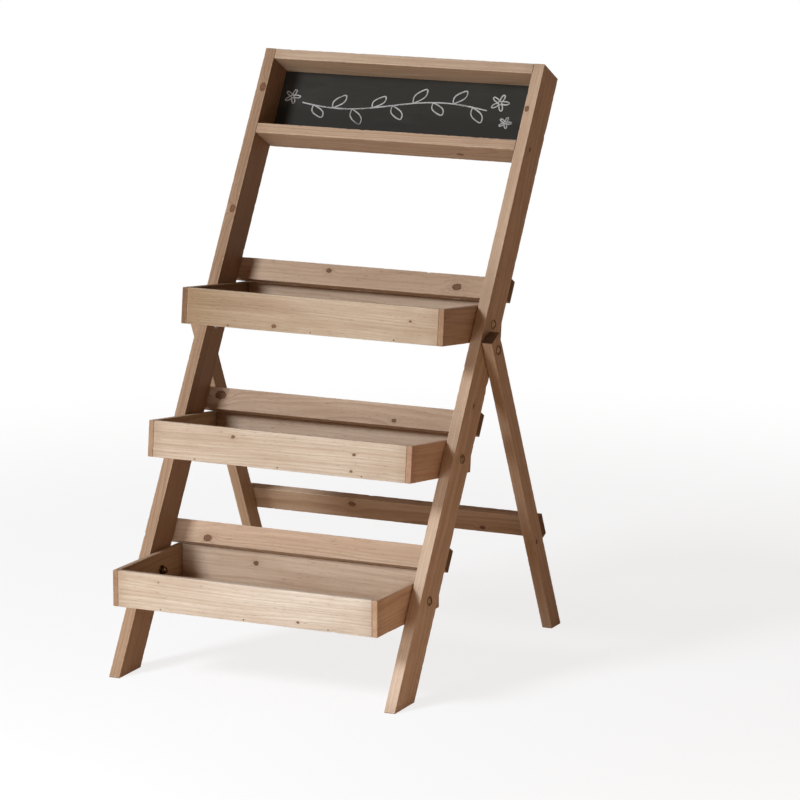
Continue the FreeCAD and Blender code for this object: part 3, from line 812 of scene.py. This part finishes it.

# Leg tints darken both rear legs as painted shade.
legLooks = {
    "left": {"knots": [(0.06, 0.004, 0.0032)], "tint": (0.79, 0.74, 0.67)},
    "right": {"knots": [(-0.09, -0.005, 0.0026)], "tint": (0.88, 0.84, 0.80)},
}
crossLook = {"knots": [(-0.06, 0.007, 0.004), (0.14, -0.01, 0.003)], "tint": (0.88, 0.85, 0.82)}
for side, look in legLooks.items():
    cutBoard(f"{side}_rear_leg", "rear_frame", legTurn, frameFir, look, legCuts, True)
crossCuts = screwCuts(crossScrews)
cutBoard("rear_cross_batten", "rear_frame", legTurn, frameFir, crossLook, crossCuts)
print("boards cut")


# Metals

bronzeLook = {"base": (0.165, 0.092, 0.047), "tarnish": (0.058, 0.032, 0.018), "rim": (0.22, 0.14, 0.08),
              "rough": 0.14, "spread": 0.20}
zincLook = {"base": (0.560, 0.550, 0.525), "tarnish": (0.300, 0.285, 0.260), "rim": (0.90, 0.89, 0.87),
            "rough": 0.36, "spread": 0.24}
nailLook = {"base": (0.130, 0.112, 0.095), "tarnish": (0.060, 0.036, 0.024), "rim": (0.30, 0.26, 0.22),
            "rough": 0.42, "spread": 0.30}
wearMake = {"patchRate": 260.0, "patchBand": (0.38, 0.68), "scratchAcross": 3200.0, "scratchAlong": 400.0,
            "scratchRough": 0.08, "scratchDepth": 0.00004}


def makeMetalWear():
    m = wearMake
    tree, given, made = newGroup(
        "metalWear", {"Place": "Vector", "Grain": "Float"}, {"Tarnish": "Float", "Scratch": "Float"})
    patches = noiseAt(tree, given["Place"], scale=m["patchRate"], detail=4.0, rough=0.6)
    wire(tree, remap(tree, patches, *m["patchBand"]), made["Tarnish"])
    rates = combine(tree, given["Grain"], given["Grain"], m["scratchAlong"])
    wire(tree, noiseAt(tree, stretched(tree, given["Place"], rates), detail=3.0), made["Scratch"])
    return tree


metalWear = makeMetalWear()


def makeMetal(name, look):
    material, tree, shader = newMaterial(name)
    wear = useGroup(tree, metalWear, Place=objectPlace(tree), Grain=wearMake["scratchAcross"])
    wire(tree, mixColour(tree, wear["Tarnish"], look["base"], look["tarnish"]), shader.inputs["Base Color"])
    rough = calc(tree, "MULTIPLY_ADD", wear["Tarnish"], look["spread"], look["rough"])
    rough = calc(tree, "MULTIPLY_ADD", wear["Scratch"], wearMake["scratchRough"], rough)
    wire(tree, rough, shader.inputs["Roughness"])
    shader.inputs["Metallic"].default_value = 1.0
    shader.inputs["Specular Tint"].default_value = (*look["rim"], 1)
    bump(tree, shader, wear["Scratch"], wearMake["scratchDepth"])
    return material


bronze = makeMetal("bronzedSteel", bronzeLook)
zinc = makeMetal("zincSteel", zincLook)
bareSteel = makeMetal("bareSteel", nailLook)


# Fasteners, each modelled once with its head at the origin and +Z into the wood

metalSmooth = 35  # degrees


def domeProfile(radius, height, steps=6):  # a shallow dome that stands on the seat, from its crown down
    ball = (radius ** 2 + height ** 2) / (2 * height)
    rings = []
    for step in range(steps):
        level = height * (1 - ((step + 0.35) / steps) ** 2)
        rings.append((math.sqrt(ball ** 2 - (ball - height + level) ** 2), -level))
    return rings


def placeAll(node, master, seats, material, turn=ladderTurn, body="front_frame",
             spinSeed=None, sink=0.0):
    dice = random.Random(spinSeed)
    copies = []
    for seat, direction in seats:
        copy = master.copy()
        copy.data = master.data.copy()
        bpy.context.scene.collection.objects.link(copy)
        spin = dice.uniform(0, math.tau) if spinSeed else 0
        copy.matrix_world = turn @ aimed(seat + direction * sink, direction, spin)
        copies.append(copy)
    pickOnly(*copies)
    applyPlace()
    bpy.ops.object.join()
    piece = bpy.context.object
    piece.name = pieceName(node)
    smooth(piece, metalSmooth)
    standFor(piece, node, body, material)


def solidLength(node, turn):
    low, high = solidsOf(node, turn)[0]
    return max(high - low)


boltMake = {"headRadius": 0.00625, "headHeight": 0.0034, "lip": 0.0006, "shank": 0.003, "chamfer": 0.0007,
            "neck": 0.0001, "sides": 40}


def makeBolt(name, node):
    m = boltMake
    dome = domeProfile(m["headRadius"], m["headHeight"] - m["lip"])
    rings = [(radius, level - m["lip"]) for radius, level in dome]
    rings += [(m["headRadius"], -m["lip"]), (m["headRadius"], -m["lip"] * 0.3), (m["headRadius"] * 0.95, 0)]
    tip = solidLength(node, ladderTurn) - m["headHeight"]
    rings += [(m["shank"], m["neck"]), (m["shank"], tip - m["chamfer"]), (m["shank"] * 0.75, tip)]
    return turned(name, rings, m["sides"])


trayBolt = makeBolt("trayBoltMaster", "top_tray_bolts")
legBolt = makeBolt("legBoltMaster", "leg_bolts")
for node in (*[f"{tier}_tray_bolts" for tier in tiers], "leg_bolts"):
    seats = headSeats(node, ladderTurn, sideways)
    master = legBolt if node == "leg_bolts" else trayBolt
    placeAll(node, master, seats, bronze, sink=boltMake["headHeight"])

nutMake = {"flats": 0.010, "height": 0.004, "chamfer": 0.0005,
           "domeRadius": 0.0042, "domeSteps": 6, "domeSides": 32}


def makeNut():
    m = nutMake
    corner = m["flats"] / 2 / math.cos(math.pi / 6)
    hexagon = [(corner * 0.93, 0), (corner, m["chamfer"]), (corner, m["height"] - m["chamfer"]),
               (corner * 0.88, m["height"])]
    dome = [(m["domeRadius"], m["height"] * 0.9), (m["domeRadius"], m["height"])]
    for step in range(1, m["domeSteps"] + 1):
        lift = math.pi / 2 * step / (m["domeSteps"] + 0.5)  # stops short of the pole
        dome.append((m["domeRadius"] * math.cos(lift), m["height"] + m["domeRadius"] * math.sin(lift)))
    pieces = [turned("nutMaster", hexagon, 6), turned("nutDome", dome, m["domeSides"])]
    pickOnly(*pieces)
    bpy.ops.object.join()
    return bpy.context.object


washerMake = {"edgeShare": 0.97, "bevelShare": 0.2, "sides": 36}


def makeWasher(low, high):
    m = washerMake
    radius, depth = (high - low).z / 2, (high - low).x
    rings = [(radius * m["edgeShare"], 0), (radius, depth * m["bevelShare"]),
             (radius, depth * (1 - m["bevelShare"])), (radius * m["edgeShare"], depth)]
    ring = turned("washerMaster", rings, m["sides"])
    subtract(ring, [throughHole(Vector((0, 0, 0)), Vector((0, 0, 1)), depth, holeMake["boltRadius"])])
    return ring


def flatSeats(node):  # the face of each flat ring that looks away from the middle
    seats = []
    for low, high in solidsOf(node, ladderTurn):
        seat = (low + high) / 2
        side = math.copysign(1, seat.x)
        seat.x = high.x if side > 0 else low.x
        seats.append((seat, Vector((-side, 0, 0))))
    return seats


capNut = makeNut()
flatWasher = makeWasher(*solidsOf("leg_washers", ladderTurn)[0])
for tier in tiers:
    nuts, washers = f"{tier}_tray_nuts", f"{tier}_tray_washers"
    placeAll(nuts, capNut, flatSeats(nuts), bronze, spinSeed=tier)
    placeAll(washers, flatWasher, flatSeats(washers), bronze)
placeAll("leg_washers", flatWasher, flatSeats("leg_washers"), bronze)

insertMake = {"flange": 0.0065, "flangeHeight": 0.0015, "body": 0.0045, "bevel": 0.0003, "step": 0.0001,
              "mouthLift": 0.0002, "mouthDepth": 0.0012, "mouth": 0.0042, "mouthEnd": 0.0030, "sides": 36}


def makeInsert(length):
    m = insertMake
    rings = [(m["flange"] - m["bevel"], 0), (m["flange"], m["bevel"]), (m["flange"], m["flangeHeight"]),
             (m["body"], m["flangeHeight"] + m["step"]), (m["body"], length)]
    piece = turned("insertMaster", rings, m["sides"])
    inwards = Vector((0, 0, 1))
    bits = [throughHole(Vector((0, 0, 0)), inwards, length, holeMake["boltRadius"]),
            drill(-inwards * m["mouthLift"], inwards, m["mouthDepth"], m["mouth"], m["mouthEnd"])]
    subtract(piece, bits)
    return piece


insert = makeInsert(solidLength("leg_inserts", ladderTurn))
placeAll("leg_inserts", insert, headSeats("leg_inserts", ladderTurn, towardsMiddle), zinc)

screwMake = {"head": 0.0035, "headHeight": 0.0026, "rim": 0.0003, "rimShare": 0.92, "shank": 0.00175,
             "point": 0.005, "tip": 0.0003, "sink": 0.0004, "sides": 28,
             "slotWidth": 0.0009, "slotLength": 0.0044, "slotDepth": 0.0013, "slotLift": 0.001}


def makeScrew(name, length):
    m = screwMake
    rings = [(m["head"] * m["rimShare"], 0), (m["head"], m["rim"]), (m["shank"], m["headHeight"]),
             (m["shank"], length - m["point"]), (m["tip"], length)]
    screw = turned(name, rings, m["sides"])
    reach, width = m["slotLength"] / 2, m["slotWidth"] / 2
    lift, depth = Vector((0, 0, m["slotLift"])), Vector((0, 0, m["slotDepth"]))
    arms = [Vector((reach, width, 0)), Vector((width, reach, 0))]
    cross = [addBlock("slot", -arm - lift, arm + depth) for arm in arms]
    for block in cross:
        subtract(screw, [block])
    return screw


battenScrew = makeScrew("battenScrewMaster", solidLength("batten_screws", ladderTurn))
crossScrew = makeScrew("crossScrewMaster", solidLength("cross_batten_screws", legTurn))
placeAll("batten_screws", battenScrew, battenScrews, zinc, spinSeed="batten",
         sink=screwMake["sink"])
placeAll("cross_batten_screws", crossScrew, crossScrews, zinc, legTurn, "rear_frame",
         spinSeed="cross", sink=screwMake["sink"])

bradMake = {"radius": 0.00075, "head": 0.00095, "pinHead": 0.001235, "crown": 0.00025,
            "sink": 0.0006, "sides": 14}


def makeBrad(name, length, headRadius):
    m = bradMake
    rings = [(headRadius * 0.5, 0), (headRadius, m["crown"]), (headRadius, m["crown"] * 2.2),
             (m["radius"], m["crown"] * 3), (m["radius"], length - m["radius"] * 2),
             (m["radius"] * 0.3, length)]
    return turned(name, rings, m["sides"])


bradLength = solidLength("top_tray_brads", trayTurns["top"]) - bradMake["sink"]
brad = makeBrad("bradMaster", bradLength, bradMake["head"])
for tier in tiers:
    placeAll(f"{tier}_tray_brads", brad, trayBrads[tier], bareSteel,
             trayTurns[tier], f"{tier}_tray", sink=bradMake["sink"])
pin = makeBrad("pinMaster", solidLength("board_pins", ladderTurn), bradMake["pinHead"])
pinSeats = headSeats("board_pins", ladderTurn, rearwards)
placeAll("board_pins", pin, pinSeats, bareSteel, sink=-bradMake["crown"] * 2)
for master in (trayBolt, legBolt, capNut, flatWasher, insert, battenScrew, crossScrew, brad, pin):
    bpy.data.objects.remove(master)
print("fasteners placed")


# Chalkboard: painted panel, wiped more than once, with a sprig drawn in chalk

panelMake = {"ease": 0.0004, "easeSegments": 2, "step": 0.008, "smoothAngle": 40,
             "bow": 0.0003, "rippleRate": 9}
panelLook = {
    "paint": (0.0225, 0.0205, 0.0160), "dust": (0.072, 0.067, 0.057), "scuff": (0.014, 0.013, 0.0115),
    "wipeTurn": 24, "wipeRates": (7.0, 20.0, 38.0), "wipeBand": (0.40, 0.78), "cloudRate": 16.0,
    "cloudBand": (0.30, 0.72, 0.15, 1.0), "scuffBand": (0.5, 0.75, 0.0, 0.4), "gritRate": 1500.0,
    "gritBand": (0.3, 0.6, 0.55, 1.0), "dustShare": 0.55, "rough": 0.72, "dustRough": 0.15, "specular": 0.15,
    "relief": 0.00008,
}
hardboardLook = {
    "light": (0.225, 0.128, 0.066), "dark": (0.115, 0.062, 0.032), "cloud": (0.155, 0.092, 0.052),
    "fleckRate": 900.0, "fleckBand": (0.35, 0.65), "cloudRate": 14.0, "cloudBand": (0.4, 0.7, 0.0, 0.35),
    "roughBand": (0.3, 0.7, 0.62, 0.85), "relief": 0.00015,
}
chalkLook = {"chalk": (0.86, 0.85, 0.82), "width": 0.0025, "thickness": 0.00026,
             "rough": 0.95, "relief": 0.0001, "grainRate": 1300.0,
             "pressRate": 60.0, "pressReach": 0.5, "coverBand": (0.33, 0.55, 0.08, 1.0)}


def makePanelPaint():
    m = panelLook
    material, tree, shader = newMaterial("chalkPaint")
    place = objectPlace(tree)
    wipe = tree.nodes.new("ShaderNodeMapping")
    wipe.inputs["Rotation"].default_value = (0.0, math.radians(m["wipeTurn"]), 0.0)
    wipe.inputs["Scale"].default_value = m["wipeRates"]
    wire(tree, place, wipe.inputs["Vector"])
    swept = noiseAt(tree, wipe.outputs["Vector"], scale=1.0, detail=6.0, rough=0.62)
    cloud = noiseAt(tree, place, scale=m["cloudRate"], detail=3.0)
    grit = noiseAt(tree, place, scale=m["gritRate"], detail=2.0)
    dust = times(tree, remap(tree, swept, *m["wipeBand"]), remap(tree, cloud, *m["cloudBand"]))
    dust = times(tree, dust, remap(tree, grit, *m["gritBand"]))
    colour = mixColour(tree, remap(tree, cloud, *m["scuffBand"]), m["paint"], m["scuff"])
    colour = mixColour(tree, times(tree, dust, m["dustShare"]), colour, m["dust"])
    wire(tree, colour, shader.inputs["Base Color"])
    wire(tree, calc(tree, "MULTIPLY_ADD", dust, m["dustRough"], m["rough"]), shader.inputs["Roughness"])
    shader.inputs["Specular IOR Level"].default_value = m["specular"]
    bump(tree, shader, grit, m["relief"])
    return material


def makeHardboard():  # the panel's back is left unpainted
    m = hardboardLook
    material, tree, shader = newMaterial("hardboard")
    place = objectPlace(tree)
    fleck = noiseAt(tree, place, scale=m["fleckRate"], detail=4.0, rough=0.7)
    cloud = noiseAt(tree, place, scale=m["cloudRate"], detail=3.0)
    colour = mixColour(tree, remap(tree, fleck, *m["fleckBand"]), m["light"], m["dark"])
    colour = mixColour(tree, remap(tree, cloud, *m["cloudBand"]), colour, m["cloud"])
    wire(tree, colour, shader.inputs["Base Color"])
    wire(tree, remap(tree, fleck, *m["roughBand"]), shader.inputs["Roughness"])
    bump(tree, shader, fleck, m["relief"])
    return material


def makeChalk():
    m = chalkLook
    material, tree, shader = newMaterial("chalkLine")
    place = objectPlace(tree)
    grain = noiseAt(tree, place, scale=m["grainRate"], detail=3.0, rough=0.7)
    press = noiseAt(tree, place, scale=m["pressRate"], detail=2.0)
    cover = swayed(tree, grain, press, m["pressReach"])
    wire(tree, remap(tree, cover, *m["coverBand"]), shader.inputs["Alpha"])
    wire(tree, mixColour(tree, grain, panelLook["dust"], m["chalk"]), shader.inputs["Base Color"])
    shader.inputs["Roughness"].default_value = m["rough"]
    bump(tree, shader, grain, m["relief"])
    return material


panelLow, panelHigh = localBox("chalkboard", ladderTurn)
panel = addBlock("chalkboardPanel", panelLow, panelHigh)
for axis in (0, 2):
    cutAlong(panel, axis, round((panelHigh - panelLow)[axis] / panelMake["step"]))
easeEdges(panel, panelMake["ease"], panelMake["easeSegments"])
for vertex in panel.data.vertices:  # a thin panel never lies quite flat
    across, upwards = vertex.co.x * panelMake["rippleRate"], vertex.co.z * panelMake["rippleRate"]
    vertex.co.y += (1 + noise.noise(Vector((across, 0, upwards)))) / 2 * panelMake["bow"]
smooth(panel, panelMake["smoothAngle"])
settle(panel, ladderTurn)
standFor(panel, "chalkboard", "front_frame", makePanelPaint())
panel.data.materials.append(makeHardboard())
rear = ladderTurn @ Vector((0, 1, 0))
for face in panel.data.polygons:
    face.material_index = 1 if face.normal.dot(rear) > 0.9 else 0

# Places on the panel are shares of its half width and half height
sprigMake = {
    "stemStart": -0.80, "stemLength": 1.40, "stemSteps": 28, "stemRise": 0.13,
    "waveHeight": 0.17, "waveRate": 4.1, "waveStart": 0.5,
    "leaves": 9, "firstLeaf": -0.71, "leafSpacing": 0.15, "leafLean": 0.085, "leafReach": 0.36,
    "leafGrowth": 0.04, "leafBulge": (-0.040, 0.02), "leafSteps": (0, 0.25, 0.5, 0.75, 1),
    "blossoms": ((-0.885, 0.22, 0.062), (0.685, 0.40, 0.070), (0.755, -0.14, 0.048)),
    "petals": 5, "petalSteps": 40, "petalDepth": 0.38, "eye": 0.2, "eyeSteps": 10, "stretch": 3.4,
}


def sprigLines():  # a waving stem with leaves and three small blossoms
    m = sprigMake

    def stemAt(u):
        return Vector((u, m["waveHeight"] * math.sin(u * m["waveRate"] + m["waveStart"]) + m["stemRise"]))

    def ring(u, v, size, steps, petals=0, depth=0.0):  # a closed line, drawn in between its petals
        points = []
        for step in range(steps + 1):
            turn = math.tau * step / steps
            reach = size * (1 - depth + depth * math.cos(petals * turn))
            points.append(Vector((u + reach * math.cos(turn), v + reach * math.sin(turn) * m["stretch"])))
        return points

    stem = [m["stemStart"] + m["stemLength"] * step / m["stemSteps"] for step in range(m["stemSteps"] + 1)]
    lines = [[stemAt(u) for u in stem]]
    for index in range(m["leaves"]):  # leaves stand on the stem by turns
        root = stemAt(m["firstLeaf"] + index * m["leafSpacing"])
        side = 1 if index % 2 else -1
        reach = Vector((m["leafLean"], side * (m["leafReach"] + m["leafGrowth"] * (index % 3))))
        bulge = Vector((m["leafBulge"][0], side * m["leafBulge"][1]))
        out = [(share, math.sin(math.pi * share)) for share in m["leafSteps"]]
        there = [root + reach * share + bulge * swell for share, swell in out]
        back = [root + reach * share - bulge * swell for share, swell in out[-2::-1]]
        lines.append(there + back)
    for u, v, size in m["blossoms"]:
        lines.append(ring(u, v, size, m["petalSteps"], m["petals"], m["petalDepth"]))
        lines.append(ring(u, v, size * m["eye"], m["eyeSteps"]))
    return lines


def drawChalk():
    middle, half = (panelLow + panelHigh) / 2, (panelHigh - panelLow) / 2
    curve = bpy.data.curves.new("chalkSprig", "CURVE")
    curve.dimensions = "3D"
    curve.bevel_depth = chalkLook["width"] / 2
    curve.bevel_resolution = 2
    curve.use_fill_caps = True
    for line in sprigLines():
        spline = curve.splines.new("NURBS")
        spline.points.add(len(line) - 1)
        for point, (u, v) in zip(spline.points, line):
            point.co = (middle.x + u * half.x, 0, middle.z + v * half.z, 1)
            point.radius = 0.8 + 0.35 * noise.noise(Vector((u * 31, v * 13, 0)))  # the hand presses unevenly
        spline.order_u = 3
        spline.use_endpoint_u = True
    sprig = bpy.data.objects.new("chalkSprig", curve)
    bpy.context.scene.collection.objects.link(sprig)
    pickOnly(sprig)
    bpy.ops.object.convert(target="MESH")
    flat = chalkLook["thickness"] / chalkLook["width"]
    sprig.matrix_world = Matrix.Translation((0, panelLow.y, 0)) @ Matrix.Diagonal((1, flat, 1, 1))
    applyPlace()
    settle(sprig, ladderTurn)
    sprig.data.materials.append(makeChalk())
    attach(sprig, "front_frame")


drawChalk()
print("chalkboard drawn")


# Dowels stay as the frame gives them

beechLook = {"light": (0.62, 0.44, 0.29), "dark": (0.45, 0.29, 0.17), "fleckRates": (60.0, 900.0, 900.0)}


def makeBeech():
    material, tree, shader = newMaterial("beechDowel")
    place = stretched(tree, objectPlace(tree), beechLook["fleckRates"])
    fleck = noiseAt(tree, place, detail=3.0)
    wire(tree, mixColour(tree, fleck, beechLook["light"], beechLook["dark"]), shader.inputs["Base Color"])
    wire(tree, remap(tree, fleck, 0.2, 0.8, 0.5, 0.7), shader.inputs["Roughness"])
    bump(tree, shader, fleck, 0.0001)
    return material


dowels = frame["nodes"]["rail_dowels"]
dowels.data.materials.clear()
dowels.data.materials.append(makeBeech())


# Stage: pale floor, soft key from the front left, low warm fill

stageLook = {"floorSize": 60.0, "floorRough": 0.9, "bounce": (0.84, 0.64, 0.45), "white": (1.0, 1.0, 1.0),
             "fill": (1.0, 0.52, 0.29), "fillLevel": 0.15, "shadowShare": 0.80, "shadowReach": (0.7, 1.8)}
lamps = {
    "keyLight": {"azimuth": -35, "elevation": 34, "distance": 4.2, "size": 1.25, "energy": 154,
                 "colour": (0.93, 1.0, 1.09)},
    "lowLight": {"azimuth": -8, "elevation": -6, "distance": 1.40, "size": 0.5, "energy": 7,
                 "colour": (0.95, 1.0, 1.07)},
    "floorGlow": {"azimuth": 60, "elevation": -19, "distance": 1.15, "size": 0.8, "energy": 1.6,
                  "colour": (1.0, 0.60, 0.36)},
}
photoView = {"azimuth": 26.299, "elevation": 12.554, "roll": -0.659, "distance": 5.91833, "lens": 200.33,
             "sensor": 36.0, "target": (0.14329, -0.08586, 0.37959)}


def seenRay(tree):  # camera, mirror and glass rays see the white background
    path = tree.nodes.new("ShaderNodeLightPath")
    seen = calc(tree, "MAXIMUM", path.outputs["Is Camera Ray"], path.outputs["Is Glossy Ray"])
    return calc(tree, "MAXIMUM", seen, path.outputs["Is Transmission Ray"])


def outFrom(azimuth, elevation):
    turn, lift = math.radians(azimuth), math.radians(elevation)
    return Vector((math.sin(turn) * math.cos(lift), -math.cos(turn) * math.cos(lift), math.sin(lift)))


def layFloor():
    pickNone()
    bpy.ops.mesh.primitive_plane_add(size=stageLook["floorSize"])
    floor = bpy.context.object
    floor.name = "studioFloor"
    material, tree, shader = newMaterial("paleFloor")
    seen = seenRay(tree)
    wire(tree, mixColour(tree, seen, stageLook["bounce"], stageLook["white"]), shader.inputs["Base Color"])
    shader.inputs["Roughness"].default_value = stageLook["floorRough"]
    glow = tree.nodes.new("ShaderNodeEmission")
    glow.inputs["Color"].default_value = (*stageLook["white"], 1)
    mix = tree.nodes.new("ShaderNodeMixShader")
    far = tree.nodes.new("ShaderNodeVectorMath")
    far.operation = "LENGTH"
    wire(tree, objectPlace(tree), far.inputs[0])
    share = remap(tree, far.outputs["Value"], *stageLook["shadowReach"], stageLook["shadowShare"], 1.0)
    wire(tree, times(tree, seen, share), mix.inputs[0])
    wire(tree, shader.outputs[0], mix.inputs[1])
    wire(tree, glow.outputs[0], mix.inputs[2])
    wire(tree, mix.outputs[0], tree.nodes["Material Output"].inputs["Surface"])
    floor.data.materials.append(material)


def lightWorld():
    world = bpy.data.worlds.new("studioWorld")
    world.use_nodes = True
    bpy.context.scene.world = world
    tree = world.node_tree
    background = tree.nodes["Background"]
    fill = tuple(part * stageLook["fillLevel"] for part in stageLook["fill"])
    wire(tree, mixColour(tree, seenRay(tree), fill, stageLook["white"]), background.inputs["Color"])
    background.inputs["Strength"].default_value = 1.0


def hangLamp(name, look):
    lamp = bpy.data.lights.new(name, "AREA")
    lamp.shape = "DISK"
    lamp.size = look["size"]
    lamp.energy = look["energy"]
    lamp.color = look["colour"]
    holder = bpy.data.objects.new(name, lamp)
    bpy.context.scene.collection.objects.link(holder)
    middle = (cadBox[0] + cadBox[1]) / 2
    away = outFrom(look["azimuth"], look["elevation"])
    holder.location = middle + away * look["distance"]
    holder.rotation_euler = away.to_track_quat("Z", "Y").to_euler()
    holder.visible_camera = False


def setCamera():
    data = bpy.data.cameras.new("photoCamera")
    data.lens = photoView["lens"]
    data.sensor_width = photoView["sensor"]
    camera = bpy.data.objects.new("photoCamera", data)
    bpy.context.scene.collection.objects.link(camera)
    back = outFrom(photoView["azimuth"], photoView["elevation"])
    right = Vector((0, 0, 1)).cross(back).normalized()
    stand = Matrix((right, back.cross(right), back)).transposed().to_4x4()
    place = Matrix.Translation(Vector(photoView["target"]) + back * photoView["distance"])
    camera.matrix_world = place @ stand @ Matrix.Rotation(math.radians(photoView["roll"]), 4, "Z")
    bpy.context.scene.camera = camera


layFloor()
lightWorld()
for name, look in lamps.items():
    hangLamp(name, look)
setCamera()
bpy.context.scene.view_settings.view_transform = "Standard"
print("stage set")
